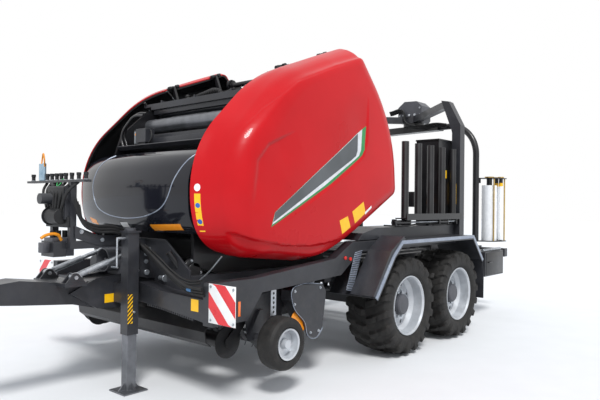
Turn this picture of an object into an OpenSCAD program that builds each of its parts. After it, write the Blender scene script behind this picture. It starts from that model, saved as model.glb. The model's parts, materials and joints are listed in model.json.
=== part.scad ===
// Trailed round baler with bale wrapper on a tandem axle.
// +X forward, +Y left, +Z up, millimetres, standing on the ground at z = 0.
// Every module below measures x from the middle of the tandem, and at_tandem() centres the machine.

/* [Running gear] */
// Radius of a main tyre over its lugs
tyre_r = 505; // [485:1:520]
// Width of a main tyre
tyre_w = 500; // [420:10:520]
// Distance between the two axles
wheelbase = 1113; // [1080:1:1150]
// Distance from the middle plane to the middle of a main tyre
tyre_y = 1195; // [1170:5:1200]
// Lugs on each half of a main tyre
lug_count = 16; // [12:1:20]
// Height of a lug
lug_h = 30; // [15:1:40]
// Radius of the bead seat of a main rim
bead_r = 286; // [270:1:300]
// Radius of the wheel spindles
spindle_r = 38; // [30:1:45]
// Running clearance of a shaft in its bore
run = 0.05; // [0.02:0.01:0.1]

/* [Main frame] */
// Distance from the middle plane to the middle of a frame rail
rail_y = 700; // [690:5:710]
// Width of a frame rail
rail_w = 100; // [80:5:110]
// Underside of the frame rails
rail_z = 780; // [760:5:790]
// Depth of the frame rails
rail_h = 150; // [120:5:150]
// Rear end of the frame rails
rail_rear_x = -2700; // [-2800:10:-2650]
// Front face of the headstock beam
head_x = 2980; // [2960:5:3000]
// Thickness of the headstock beam, front to back
head_t = 140; // [120:5:160]
// Inner face of a side beam
side_in_y = 1100; // [1090:5:1110]
// Width of a side beam
side_w = 100; // [80:5:110]
// Top face of the side beams above the wheels
side_top_z = 1165; // [1150:5:1180]

/* [Drawbar] */
// Centre of the towing eye, forward of the tandem
eye_x = 4370; // [4300:10:4450]
// Height of the towing eye's centre
eye_z = 855; // [840:5:870]
// Radius of the bore of the towing eye
eye_bore_r = 25; // [20:0.5:28]
// Outer radius of the towing eye
eye_r = 60; // [55:1:70]
// Half width of the drawbar
bar_half_w = 120; // [100:5:125]
// Distance from the middle plane to the drawbar's adjusting links
link_y = 210; // [205:1:215]
// Radius of the power input shaft
pto_r = 17.5; // [15:0.5:22]
// Length of the power input shaft
pto_len = 90; // [70:5:100]

/* [Parking jack] */
// Jack, forward of the tandem
jack_x = 3100; // [3080:5:3120]
// Jack, left of the middle plane
jack_y = 320; // [310:5:330]
// Outer width of the jack's tube
jack_w = 100; // [90:5:100]
// Wall of the jack's tube
jack_wall = 8; // [6:1:10]
// Top of the jack
jack_top_z = 1275; // [1200:5:1300]

/* [Bale chamber] */
// Outer face of the chamber walls
wall_y = 690; // [680:5:695]
// Thickness of a chamber wall
wall_t = 30; // [20:5:35]
// Centre of the bale chamber, forward of the tandem
bale_x = 1520; // [1500:5:1540]
// Height of the centre of the bale chamber
bale_z = 1960; // [1940:5:1980]
// Radius of the largest bale
bale_r = 720; // [700:5:730]
// Radius of a pressing roller
press_r = 70; // [55:1:75]
// Hinge of the tailgate, forward of the tandem
gate_x = 1110; // [1100:5:1120]
// Height of the tailgate's hinge
gate_z = 2900; // [2890:5:2910]
// Radius of the tailgate's hinge tube
gate_pin_r = 30; // [25:1:34]

/* [Side doors and hood] */
// Inner edge of a side door, from the middle plane
door_y = 820; // [810:2:830]
// Depth of a side door, from its inner edge to its outer face
door_depth = 385; // [360:5:390]
// Thickness of a door's skin
door_skin = 12; // [8:1:16]
// Thickness of a door's lining
liner_t = 18; // [12:1:24]
// Half width of the front hood
hood_half_w = 800; // [780:5:804]
// Thickness of the front hood
hood_t = 22; // [16:1:28]

/* [Pick-up] */
// Lifting pivot of the pick-up, forward of the tandem
lift_x = 1640; // [1620:5:1660]
// Height of the lifting pivot
lift_z = 700; // [690:5:710]
// Axis of the tine reel, forward of the tandem
reel_x = 2215; // [2200:5:2230]
// Height of the axis of the tine reel
reel_z = 530; // [520:5:540]
// Radius of the tine tips
tine_r = 238; // [220:2:240]
// Half width between the pick-up's side plates
pick_half_w = 1000; // [960:5:1010]
// Tine bars on the reel
tine_bars = 5; // [4:1:6]
// Tines along a bar
tine_count = 22; // [16:1:26]
// Radius of a gauge wheel
gauge_r = 210; // [200:1:215]
// Width of a gauge wheel
gauge_w = 180; // [150:5:190]
// Gauge wheels, forward of the tandem
gauge_x = 2370; // [2350:5:2390]
// Height of the gauge wheels' axis with the pick-up lifted
gauge_z = 420; // [415:1:430]
// Middle of a gauge wheel, from the middle plane
gauge_y = 1315; // [1300:5:1320]

/* [Wrapper] */
// Axis of the wrapping arms, behind the tandem
wrap_x = -1950; // [-1970:5:-1930]
// Radius on which the wrapping arms hang
arm_r = 1060; // [1040:5:1070]
// Radius of the arms' tube
arm_tube_r = 42; // [34:1:46]
// Height of the arms' cross tube
arm_top_z = 2640; // [2620:5:2650]
// Underside of the film dispensers
film_low_z = 1040; // [1035:5:1060]
// Height of a roll of film
film_h = 750; // [500:10:760]
// Radius of a full roll of film
film_r = 100; // [90:5:110]
// Radius of the hole in a roll of film
film_core_r = 38; // [30:1:42]
// Gantry legs, behind the tandem
leg_x = -960; // [-970:5:-950]
// Underside of the gantry's top beams
gantry_z = 2735; // [2725:5:2750]
// Radius of the wrapping table's rollers
table_r = 110; // [90:5:120]
// Storage tubes on each film rack
rack_count = 5; // [3:1:5]

/* [Hidden] */

front_x = eye_x + eye_r;
bumper_t = 100;
rear_x = rail_rear_x - bumper_t;
mid_x = (front_x + rear_x) / 2;
axle_x = wheelbase / 2;
axle_z = tyre_r;
carcass_w = tyre_w - 20;
bead_y = carcass_w * .40;
disc_y = 50;
hub_in_y = -100;
spindle_end = disc_y + 92;
rail_top = rail_z + rail_h;
side_out_y = side_in_y + side_w;
guard_out_y = 1475;
guard_t = 8;
deck_z = side_top_z + guard_t;
box_top_z = 1290;
leg_in_y = 1140;
leg_out_y = 1250;
gantry_h = 90;
slide_gap = .5;
seat_gap = .3;

anthracite = "#3b3c3f";
black = "#161618";
rubber = "#1c1c1e";
silver = "#c4c7cb";
red = "#d8202c";
white = "#f0f0ee";

module at_tandem() translate([-mid_x, 0, 0]) children();

// The left piece, or its mirror image on the right
module on_side(side) mirror([0, side < 0 ? 1 : 0, 0]) children();

module both_sides() for (side = [1, -1]) on_side(side) children();

// A plate in the x-z plane between two y values
module slab(y0, y1) translate([0, y1, 0]) rotate([90, 0, 0]) linear_extrude(height = y1 - y0) children();

// A plate in the y-z plane between two x values
module bulkhead(x0, x1) translate([x0, 0, 0]) rotate([90, 0, 90]) linear_extrude(height = x1 - x0) children();

module block(x0, x1, y0, y1, z0, z1) translate([x0, y0, z0]) cube([x1 - x0, y1 - y0, z1 - z0]);

module bar_y(x, z, r, y0, y1) translate([x, y1, z]) rotate([90, 0, 0]) cylinder(r = r, h = y1 - y0, $fn = 48);

module bar_x(y, z, r, x0, x1) translate([x0, y, z]) rotate([0, 90, 0]) cylinder(r = r, h = x1 - x0, $fn = 48);

module bar_z(x, y, r, z0, z1) translate([x, y, z0]) cylinder(r = r, h = z1 - z0, $fn = 48);

// A round bar from point a to point b
module strut(a, b, r) {
    d = b - a;
    translate(a)
        rotate([0, acos(d[2] / norm(d)), atan2(d[1], d[0])])
            cylinder(r = r, h = norm(d), $fn = 32);
}

function unit(v) = v / norm(v);

function left_of(v) = [-v[1], v[0]];

// The points of a path moved to its left by d, with mitred corners
function beside(points, d) = [
    for (i = [0:len(points) - 1])
        let (
            before = i > 0 ? unit(points[i] - points[i - 1]) : unit(points[1] - points[0]),
            after = i < len(points) - 1 ? unit(points[i + 1] - points[i]) : before,
            n = unit(left_of(before) + left_of(after))
        )
        points[i] + n * d / (n * left_of(after))
];

function reversed(list) = [for (i = [len(list) - 1:-1:0]) list[i]];

// A bent strip of sheet, seen edge on, between two offsets from the given points
module band(points, d0, d1) polygon(concat(beside(points, d0), reversed(beside(points, d1))));

module strip(points, t) band(points, -t / 2, t / 2);

/* Running gear */

module tyre_section(r, w, crown) {
    mid_r = (r + bead_r) / 2;
    polygon([
        [bead_r, -w * .40], [bead_r + 12, -w * .43], [mid_r - 20, -w / 2], [mid_r + 40, -w / 2],
        [r - crown - 12, -w * .46], [r - crown, -w * .40], [r, 0], [r - crown, w * .40],
        [r - crown - 12, w * .46], [mid_r + 40, w / 2], [mid_r - 20, w / 2], [bead_r + 12, w * .43],
        [bead_r, w * .40]
    ]);
}

module tyre(x, side) {
    carcass_r = tyre_r - lug_h;
    lug_foot = carcass_r - 60;
    tread_edge = tyre_w / 2 + 10;
    color(rubber) at_tandem() translate([x, side * tyre_y, axle_z]) rotate([90, 0, 0]) {
        rotate_extrude($fn = 64) tyre_section(carcass_r, carcass_w, 14);
        intersection() {
            rotate_extrude($fn = 64) difference() {
                tyre_section(tyre_r, tyre_w, 20);
                translate([0, -tyre_w]) square([lug_foot, 2 * tyre_w]);
            }
            for (half = [-1, 1]) for (i = [0:lug_count - 1])
                rotate([0, 0, (i + half * .25) * 360 / lug_count])
                    translate([lug_foot, 0, 0])
                        rotate([90, 0, 90])
                            linear_extrude(height = 120)
                                polygon([
                                    [-60, half * -6], [-8, half * -6], [75, half * tread_edge],
                                    [5, half * tread_edge]
                                ]);
        }
    }
}

// A rim with its disc set in from the outer flange, and its hub bored for the spindle
module rim(x, side) {
    seat = bead_r - .3;
    inside = bead_r - 9;
    drop = 36;
    flange_r = bead_r + 13;
    color(silver) at_tandem() translate([x, side * tyre_y, axle_z]) rotate([side * -90, 0, 0]) difference() {
        rotate_extrude($fn = 64) polygon([
            [flange_r, -bead_y - 30], [flange_r, -bead_y - 20], [seat, -bead_y - 8], [seat, -bead_y + 42],
            [seat - drop, -bead_y + 72], [seat - drop, bead_y - 132], [seat, bead_y - 92], [seat, bead_y + 8],
            [flange_r, bead_y + 20], [flange_r, bead_y + 30], [flange_r - 9, bead_y + 30],
            [inside, bead_y + 14], [inside, bead_y - 86], [inside - drop, bead_y - 126],
            [inside - drop, disc_y + 12], [170, disc_y + 26], [145, disc_y + 30], [145, disc_y + 46],
            [110, disc_y + 46], [100, disc_y + 95], [88, disc_y + 105], [0, disc_y + 105], [0, spindle_end],
            [spindle_r + run, spindle_end], [spindle_r + run, hub_in_y], [95, hub_in_y], [95, disc_y + 14],
            [168, disc_y + 14], [inside - drop, disc_y], [inside - drop, -bead_y + 78],
            [inside, -bead_y + 48], [inside, -bead_y - 14], [flange_r - 9, -bead_y - 30]
        ]);
        for (i = [0:7]) rotate([0, 0, i * 45 + 22.5])
            translate([205, 0, disc_y - 5]) cylinder(r = 20, h = 40, $fn = 32);
    }
}

// Height of the spring eyes and of the pins in the hangers
eye_pin_z = axle_z + 150;
eye_pin_r = 12;
spring_reach = 420;

module tandem_axles() {
    beam_half = 50;
    hub_gap = 6;
    beam_top = axle_z + beam_half;
    pad_t = 15;
    leaf_t = 14;
    leaf_pitch = 13;
    main_rise = eye_pin_z - beam_top - pad_t - leaf_t / 2 - 2 * leaf_pitch;
    color(anthracite) at_tandem() {
        for (x = [-axle_x, axle_x]) {
            block(x - beam_half, x + beam_half, -860, 860, axle_z - beam_half, beam_top);
            both_sides() {
                bar_y(x, axle_z, 95, 860, tyre_y + hub_in_y - hub_gap);
                bar_y(x, axle_z, spindle_r, 860, tyre_y + spindle_end - hub_gap);
                block(x - 60, x + 60, rail_y - 45, rail_y + 45, beam_top, beam_top + pad_t);
                slab(rail_y - 35, rail_y + 35) for (k = [0:2]) {
                    leaf_z = beam_top + pad_t + leaf_t / 2 + (2 - k) * leaf_pitch;
                    reach = spring_reach - k * 110;
                    rise = main_rise * (reach - 100) / (spring_reach - 100);
                    strip([
                        [x - reach, leaf_z + rise], [x - 100, leaf_z], [x + 100, leaf_z],
                        [x + reach, leaf_z + rise]
                    ], leaf_t);
                }
                for (end = [-1, 1]) {
                    bar_y(x + end * spring_reach, eye_pin_z, 24, rail_y - 35, rail_y + 35);
                    bar_y(x + end * spring_reach, eye_pin_z, eye_pin_r, rail_y - 52, rail_y + 52);
                }
            }
        }
        both_sides() {
            slab(rail_y - 35, rail_y + 35) polygon([
                [-axle_x + spring_reach, eye_pin_z + 24], [0, eye_pin_z + 78],
                [axle_x - spring_reach, eye_pin_z + 24], [axle_x - spring_reach, eye_pin_z - 10],
                [0, eye_pin_z + 20], [-axle_x + spring_reach, eye_pin_z - 10]
            ]);
            bar_y(0, eye_pin_z + 50, 20, rail_y - 52, rail_y + 52);
        }
    }
}

/* Frame */

module head_outline() {
    polygon([
        [0, 900], [580, 815], [side_in_y, 805], [side_in_y, 635], [580, 685], [0, 715],
        [-580, 685], [-side_in_y, 635], [-side_in_y, 805], [-580, 815]
    ]);
}

// Two cheeks below a rail that hold a spring's pin
module hanger(x, z, pin_r) {
    for (y = [rail_y - 50, rail_y + 38]) slab(y, y + 12) difference() {
        union() {
            polygon([[x - 70, rail_z], [x + 70, rail_z], [x + 30, z], [x - 30, z]]);
            translate([x, z]) circle(r = 30, $fn = 48);
        }
        translate([x, z]) circle(r = pin_r + run, $fn = 48);
    }
}

module main_frame() {
    tower_t = 20;
    color(anthracite) at_tandem() {
        both_sides() {
            block(rail_rear_x, head_x - head_t, rail_y - rail_w / 2, rail_y + rail_w / 2, rail_z, rail_top);
            block(1450, 1550, rail_y, side_in_y, 800, rail_top);
            for (x = [-axle_x - spring_reach, axle_x + spring_reach]) hanger(x, eye_pin_z, eye_pin_r);
            hanger(0, eye_pin_z + 50, 20);
        }
        for (x = [-2600, -1330, -40, 1230]) block(x, x + 80, -rail_y, rail_y, rail_z + 10, rail_z + 80);
        bulkhead(head_x - head_t, head_x) head_outline();
        bulkhead(head_x - head_t - tower_t, head_x - head_t)
            polygon([
                [-rail_y - 50, 690], [rail_y + 50, 690], [rail_y + 50, 980], [420, 1215], [-420, 1215],
                [-rail_y - 50, 980]
            ]);
    }
}

module side_outline() {
    polygon([
        [2990, 935], [2540, 935], [1520, 1025], [1250, side_top_z], [-1020, side_top_z],
        [-1020, side_top_z - 100], [1130, side_top_z - 100], [1430, 865], [2470, 815], [2630, 615],
        [2990, 615]
    ]);
}

module side_beam(side) {
    color(anthracite) at_tandem() on_side(side) {
        slab(side_in_y, side_out_y) side_outline();
    }
}

/* Drawbar, jack and hose mast */

// Pins of the drawbar's adjusting links: on the drawbar, and above the headstock
link_front = [head_x + 545, 940];
link_rear = [head_x + 40, 1110];

module drawbar() {
    pin_x = link_front[0];
    pin_z = link_front[1];
    neck_x = eye_x - 480;
    color(anthracite) at_tandem() {
        slab(-bar_half_w, bar_half_w)
            polygon([
                [eye_x - eye_r - 20, eye_z + 45], [neck_x, 935], [head_x + 500, 880], [head_x, 900],
                [head_x, 650], [head_x + 310, 665], [head_x + 500, 715], [neck_x, 755],
                [eye_x - eye_r - 20, eye_z - 55]
            ]);
        both_sides() {
            slab(bar_half_w, bar_half_w + 30)
                polygon([
                    [head_x + 540, 805], [head_x + 320, 905], [head_x, 930], [head_x, 640],
                    [head_x + 310, 665]
                ]);
            block(pin_x - 90, pin_x + 90, 0, link_y + 45, 870, 900);
            for (y = [link_y - 40, link_y + 26]) difference() {
                slab(y, y + 14) {
                    polygon([
                        [pin_x - 80, 898], [pin_x + 80, 898], [pin_x + 28, pin_z + 20],
                        [pin_x - 28, pin_z + 20]
                    ]);
                    translate([pin_x, pin_z]) circle(r = 34, $fn = 48);
                }
                bar_y(pin_x, pin_z, 15 + run, y - 1, y + 15);
            }
        }
    }
}

module towing_eye() {
    color("#55575b") at_tandem() difference() {
        union() {
            bar_z(eye_x, 0, eye_r, eye_z - 25, eye_z + 25);
            block(eye_x - eye_r - 20, eye_x, -45, 45, eye_z - 25, eye_z + 25);
        }
        bar_z(eye_x, 0, eye_bore_r, eye_z - 30, eye_z + 30);
    }
}

module drawbar_links() {
    front = link_front;
    rear = link_rear;
    sleeve_x = head_x + 250;
    rise = (rear[1] - front[1]) / (front[0] - rear[0]);
    function on_line(x) = [x, link_y, front[1] + (front[0] - x) * rise];
    color(silver) at_tandem() both_sides() {
        strut(on_line(front[0] - 50), on_line(sleeve_x), 25);
        strut(on_line(sleeve_x + 30), on_line(rear[0] + 30), 18);
        bar_y(front[0], front[1], 30, link_y - 22, link_y + 22);
        bar_y(front[0], front[1], 15, link_y - 48, link_y + 48);
        slab(link_y - 22, link_y + 22) polygon([
            [front[0] - 60, front[1] + 35], [front[0] - 60, front[1] - 10], [front[0], front[1] - 28],
            [front[0], front[1] + 28]
        ]);
        block(head_x - 140, rear[0], link_y - 22, link_y + 22, rear[1] - 30, rear[1] + 30);
        bar_y(rear[0], rear[1], 34, link_y - 22, link_y + 22);
    }
}

module jack_tube() {
    half = jack_w / 2;
    low_z = 455;
    color(anthracite) at_tandem() {
        difference() {
            block(jack_x - half, jack_x + half, jack_y - half, jack_y + half, low_z, jack_top_z);
            block(
                jack_x - half + jack_wall, jack_x + half - jack_wall, jack_y - half + jack_wall,
                jack_y + half - jack_wall, low_z - 1, jack_top_z - 12
            );
        }
        block(jack_x - 40, jack_x + 40, bar_half_w + 30, jack_y - half, 700, 860);
        block(jack_x - 62, jack_x + 62, jack_y - 62, jack_y + 62, jack_top_z, jack_top_z + 14);
    }
}

module jack_crank() {
    half = jack_w / 2;
    z = jack_top_z - 45;
    color(silver) at_tandem() {
        bar_x(jack_y, z, 11, jack_x + half, jack_x + half + 70);
        bar_z(jack_x + half + 70, jack_y, 8, z - 230, z + 8);
        bar_y(jack_x + half + 70, z - 230, 8, jack_y - 75, jack_y + 8);
    }
}

module jack_leg() {
    half = jack_w / 2 - jack_wall - slide_gap;
    color(silver) at_tandem() {
        difference() {
            block(jack_x - half, jack_x + half, jack_y - half, jack_y + half, 12, 830);
            block(jack_x - half + 6, jack_x + half - 6, jack_y - half + 6, jack_y + half - 6, 400, 831);
        }
        translate([jack_x, jack_y, 0]) {
            translate([-110, -110, 0]) cube([220, 220, 12]);
            for (a = [0:90:270]) rotate(a) translate([half, -5, 12]) rotate([90, 0, 90]) rotate([0, 90, 0])
                linear_extrude(height = 10) polygon([[0, 0], [0, 60], [-55, 0]]);
        }
    }
}

module hose_mast() {
    mast_x = head_x + 520;
    rail_z0 = 1670;
    arm_z = 1150;
    color(anthracite) at_tandem() {
        block(head_x - head_t, mast_x + 25, 100, 160, arm_z, arm_z + 62);
        for (y = [130, -150]) block(mast_x - 25, mast_x + 25, y - 22, y + 22, arm_z, rail_z0);
        block(mast_x - 25, mast_x + 25, -150, 130, arm_z, arm_z + 50);
        block(mast_x - 30, mast_x + 30, -580, 360, rail_z0, rail_z0 + 18);
        block(mast_x + 25, mast_x + 60, -150, 130, 1380, 1640);
        bar_x(-60, 1540, 42, mast_x + 60, mast_x + 170);
        block(mast_x + 25, mast_x + 125, -110, 90, arm_z - 60, arm_z + 60);
    }
}

module gearbox() {
    shaft_z = 1035;
    front = head_x + 60;
    half_w = 115;
    color("#4a4b4f") at_tandem() {
        block(head_x - head_t, front, -half_w, half_w, 905, 1140);
        bar_x(0, shaft_z, pto_r, front, front + pto_len);
        difference() {
            bar_x(0, shaft_z, 98, front, front + pto_len + 25);
            bar_x(0, shaft_z, 90, front + 12, front + pto_len + 30);
            bar_x(0, shaft_z, pto_r + 20, front - 1, front + 30);
        }
    }
}

/* Bale chamber */

module wall_outline() {
    polygon([
        [2750, 1225], [2785, 1400], [2785, 1700], [2740, 1880], [2705, 1935], [2680, 1965], [2640, 1975],
        [2560, 2190], [2280, 2440], [1800, gate_z - 250], [gate_x - 50, gate_z - 20],
        [gate_x - 50, rail_top], [2500, rail_top], [2750, 1010]
    ]);
}

module chamber_walls() {
    color(anthracite) at_tandem() {
        both_sides() difference() {
            union() {
                slab(wall_y - wall_t, wall_y) wall_outline();
                slab(wall_y - wall_t, wall_y) translate([gate_x, gate_z]) circle(r = 70, $fn = 48);
            }
            bar_y(gate_x, gate_z, gate_pin_r, wall_y - wall_t - 1, wall_y + 1);
        }
        bar_y(gate_x, gate_z, gate_pin_r, -wall_y - 12, wall_y + 12);
        both_sides() for (x = hinge_xs) {
            z = hinge_z(x);
            bulkhead(x - 15, x + 15) polygon([
                [wall_y, z - 330], [wall_y, z - 200], [hinge_y - 14, z + 12], [hinge_y + 12, z + 12],
                [hinge_y + 12, z - 14]
            ]);
            along_hinge(x) cylinder(r = hinge_pin_r, h = 150, center = true, $fn = 32);
        }
        bar_y(hood_pin[0], hood_pin[1], hood_pin_r, -wall_y + wall_t, wall_y - wall_t);
    }
}

// A point seen from the side, at angle a round the bale's centre and this far outside the largest bale
function round_bale(a, out) = [bale_x + (bale_r + out) * cos(a), bale_z + (bale_r + out) * sin(a)];

// Pressing rollers on the chamber's circle: first angle, last angle, step, in degrees from +X
module roller_ring(first, last, step, half_w) {
    for (a = [first:step:last]) {
        centre = round_bale(a, press_r);
        bar_y(centre[0], centre[1], press_r, -half_w, half_w);
    }
}

module chamber_rollers() {
    color("#6a6c70") at_tandem() roller_ring(-95, 25, 15, wall_y - wall_t);
}

module top_beams() {
    tube = [2100, 2435];
    beam = [2190, 2500];
    in_y = wall_y - wall_t;
    color(anthracite) at_tandem() {
        bar_y(tube[0], tube[1], 45, -in_y, in_y);
        block(beam[0] - 45, beam[0] + 45, -in_y, in_y, beam[1] - 30, beam[1] + 30);
        for (y = [-520, 0, 520]) slab(y - 8, y + 8)
            polygon([
                [tube[0] - 60, tube[1] + 20], [tube[0] - 60, tube[1] + 95], [beam[0] + 20, beam[1] + 60],
                [beam[0] + 20, beam[1] - 40]
            ]);
        both_sides() block(beam[0] - 45, beam[0] + 45, in_y, door_y - 40, beam[1], beam[1] + 30);
    }
}

module net_tray() {
    in_y = wall_y - wall_t;
    color(anthracite) at_tandem() {
        slab(-in_y, in_y)
            strip([[2400, 2180], [2415, 2070], [2450, 2030], [2590, 2030], [2625, 2060]], 12);
        block(2500, 2600, -380, -220, 2085, 2215);
        block(2525, 2575, -340, -260, 2034, 2085);
    }
}

// Corners of the tailgate behind the bale: angle round the bale's centre, and distance outside the bale
gate_corners = [[128, 348], [147, 306], [169, 288], [189, 312], [208, 358], [226, 369], [244, 340]];
gate_gap = 8;
gate_t = 20;

module tailgate_outline() {
    polygon(concat([[gate_x - 60, gate_z + 30]], [for (c = gate_corners) round_bale(c[0], c[1])]));
}

module tailgate() {
    y1 = wall_y - wall_t - gate_gap;
    back = [for (i = [0:len(gate_corners) - 2]) round_bale(gate_corners[i][0], gate_corners[i][1] - 12)];
    color(anthracite) at_tandem() {
        both_sides() difference() {
            slab(y1 - gate_t, y1) {
                tailgate_outline();
                polygon([
                    [gate_x + 60, gate_z], [gate_x, gate_z - 70], [gate_x - 150, bale_z + 640],
                    [gate_x - 150, gate_z - 20], [gate_x, gate_z + 62]
                ]);
            }
            bar_y(gate_x, gate_z, gate_pin_r + run, y1 - gate_t - 1, y1 + 1);
        }
        slab(-y1 + gate_t, y1 - gate_t) strip(back, 10);
    }
}

module tailgate_rollers() {
    color("#6a6c70") at_tandem() roller_ring(150, 225, 15, wall_y - wall_t - gate_gap - gate_t);
}

/* Doors and hood */

// Inner edge of a door as seen from the side: x, z and corner radius
door_edge = [
    [1079, 3068, 70], [2233, 2630, 1400], [2997, 1864, 840], [2803, 1134, 370], [1635, 1024, 1200],
    [411, 1642, 75], [472, 2393, 1650]
];
corner_steps = 5;
door_mid = [1500, 2050];

// The doors turn on a line that runs along their straight upper edge
hinge_xs = [1250, 1850];
hinge_y = door_y - 22;
hinge_pin_r = 10;
hinge_slope = atan2(door_edge[1][1] - door_edge[0][1], door_edge[1][0] - door_edge[0][0]);

function hinge_z(x) = door_edge[0][1] + (x - door_edge[0][0]) * tan(hinge_slope) + 5;

module along_hinge(x) translate([x, hinge_y, hinge_z(x)]) rotate([0, 90 - hinge_slope, 0]) children();

// Hinge of the front hood
hood_pin = [2660, 1925];
hood_pin_r = 12;

// Rings of a door from its inner edge to its face: depth, then the stretch forward, back, up and down
door_rings = [
    [0, 1, 1, 1, 1], [.20, .956, .996, 1.023, 1.026], [.42, .921, .993, 1.003, 1.035],
    [.64, .893, .99, .96, 1.02], [.82, .85, .98, .905, 1.003], [.94, .79, .94, .88, .96],
    [1, .66, .84, .785, .85]
];

// The points of one rounded corner between its neighbours
function corner(p0, p1, p2) =
    let (
        a = [p1[0], p1[1]],
        v = unit([p0[0], p0[1]] - a),
        w = unit([p2[0], p2[1]] - a),
        half = acos(v * w) / 2,
        mid = a + unit(v + w) * p1[2] / sin(half),
        s = a + v * p1[2] / tan(half) - mid,
        e = a + w * p1[2] / tan(half) - mid,
        a0 = atan2(s[1], s[0]),
        turn = (atan2(e[1], e[0]) - a0 + 540) % 360 - 180
    )
    [
        for (k = [0:corner_steps])
            let (a = a0 + turn * k / corner_steps)
            mid + p1[2] * [cos(a), sin(a)]
    ];

function rounded(points) = [
    for (i = [0:len(points) - 1])
        each corner(points[(i + len(points) - 1) % len(points)], points[i], points[(i + 1) % len(points)])
];

// One ring of a door's surface, set in from the outer surface by inset
function door_ring(row, inset) = [
    for (p = rounded(door_edge))
        let (d = p - door_mid, reach = norm(d), s = [d[0] > 0 ? row[1] : row[2], d[1] > 0 ? row[3] : row[4]])
        let (q = [d[0] * s[0], d[1] * s[1]] * (1 - inset / reach))
        [door_mid[0] + q[0], door_y + row[0] * (door_depth - inset), door_mid[1] + q[1]]
];

// The shell between two insets from the door's outer surface
module door_shell(inset0, inset1) {
    count = len(rounded(door_edge));
    outer = [for (row = door_rings) door_ring(row, inset0)];
    inner = [for (i = [len(door_rings) - 1:-1:0]) door_ring(door_rings[i], inset1)];
    polyhedron(
        points = [for (ring = concat(outer, inner)) each ring],
        faces = bowl_faces(len(outer), count, len(inner)),
        convexity = 6
    );
}

// Faces of a bowl: its outer rings, flat face, inner rings, inner face and rim, with matching diagonals
function bowl_faces(outer_rings, n, inner_rings) =
    let (total = outer_rings + inner_rings)
    concat(
        [
            for (k = [0:total - 1]) if (k != outer_rings - 1) for (i = [0:n - 1])
                let (j = (i + 1) % n, above = (k + 1) % total)
                let (a = k * n + i, b = k * n + j, c = above * n + j, d = above * n + i)
                each k < outer_rings ? [[a, b, d], [b, c, d]] : [[a, b, c], [a, c, d]]
        ],
        [[for (i = [0:n - 1]) (outer_rings - 1) * n + i]],
        [[for (i = [n - 1:-1:0]) outer_rings * n + i]]
    );

module door(side) {
    color(red) at_tandem() on_side(side) door_shell(0, door_skin);
}

// A door's lining, with the hinge knuckles that turn on the pins of the chamber wall
module door_lining(side) {
    gap = .5;
    color(black) at_tandem() on_side(side) {
        door_shell(door_skin + gap, door_skin + gap + liner_t);
        for (x = hinge_xs) for (end = [-1, 1]) along_hinge(x) translate([0, 0, end * 50]) difference() {
            union() {
                cylinder(r = hinge_pin_r + 10, h = 40, center = true, $fn = 48);
                translate([0, -14, -20]) cube([28, 32, 40]);
                translate([19, 16, -20]) cube([9, 8, 40]);
            }
            cylinder(r = hinge_pin_r + run, h = 50, center = true, $fn = 48);
        }
    }
}

// Front hood: height, how far forward it reaches in the middle
hood_rows = [
    [1270, 2880], [1330, 2945], [1480, 2995], [1650, 3000], [1800, 2965], [1900, 2895], [1955, 2800]
];

module hood() {
    cols = 8;
    sag = 95;
    top = len(hood_rows) - 1;
    function hood_x(x, y) = x - sag * pow(abs(y) / hood_half_w, 2.4);
    sections = [
        for (j = [0:cols])
            let (y = hood_half_w * (2 * j / cols - 1))
            concat(
                [for (row = hood_rows) [hood_x(row[1], y), y, row[0]]],
                [
                    for (i = [top:-1:0])
                        let (row = hood_rows[i])
                        [hood_x(row[1], y) - hood_t, y, row[0] - (i == top ? hood_t : 0)]
                ]
            )
    ];
    n = len(sections[0]);
    color(black) at_tandem() {
        polyhedron(
            points = [for (s = sections) each s],
            faces = concat(
                [
                    for (j = [0:cols - 1]) for (i = [0:n - 1])
                        let (a = j * n + i, b = j * n + (i + 1) % n, c = a + n, d = b + n)
                        each [[a, b, c], [b, d, c]]
                ],
                [[for (i = [n - 1:-1:0]) i]],
                [[for (i = [0:n - 1]) cols * n + i]]
            ),
            convexity = 4
        );
        both_sides() difference() {
            slab(560, 600) {
                polygon([
                    [hood_pin[0], hood_pin[1] - 24], [hood_pin[0], hood_pin[1] + 24], [2760, 1950],
                    [2835, 1900], [2760, 1905]
                ]);
                translate(hood_pin) circle(r = 24, $fn = 48);
            }
            bar_y(hood_pin[0], hood_pin[1], hood_pin_r + run, 550, 610);
        }
    }
}

/* Pick-up and intake */

// The reel turns on stub shafts in the side plates, and the pick-up swings on two pins
lift_pin_r = 30;
reel_pin_r = 20;
reel_bore_d = 30;
reel_half = pick_half_w - 40;

// Place of a tine along the reel; half a step further lies the band between two tines
function tine_line(i) = -reel_half + 30 + i * 2 * (reel_half - 30) / (tine_count - 1);

module intake() {
    in_y = rail_y - rail_w / 2;
    plate = 20;
    rotor = [1730, 730];
    color(anthracite) at_tandem() {
        both_sides() {
            slab(in_y - plate, in_y)
                polygon([[1500, 460], [1500, 900], [1925, 900], [1925, 640], [1860, 460]]);
            bar_y(lift_x, lift_z, lift_pin_r, in_y, 790);
        }
        slab(-in_y + plate, in_y - plate) strip([[1865, 450], [1700, 470], [1530, 560], [1500, 800]], 12);
        bar_y(rotor[0], rotor[1], 60, -in_y + plate, in_y - plate);
        for (i = [-7:7]) slab(i * 80 - 6, i * 80 + 6) translate(rotor)
            for (a = [0:90:270]) rotate(a + i * 12) translate([-25, 0]) square([50, 178]);
    }
}

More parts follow.
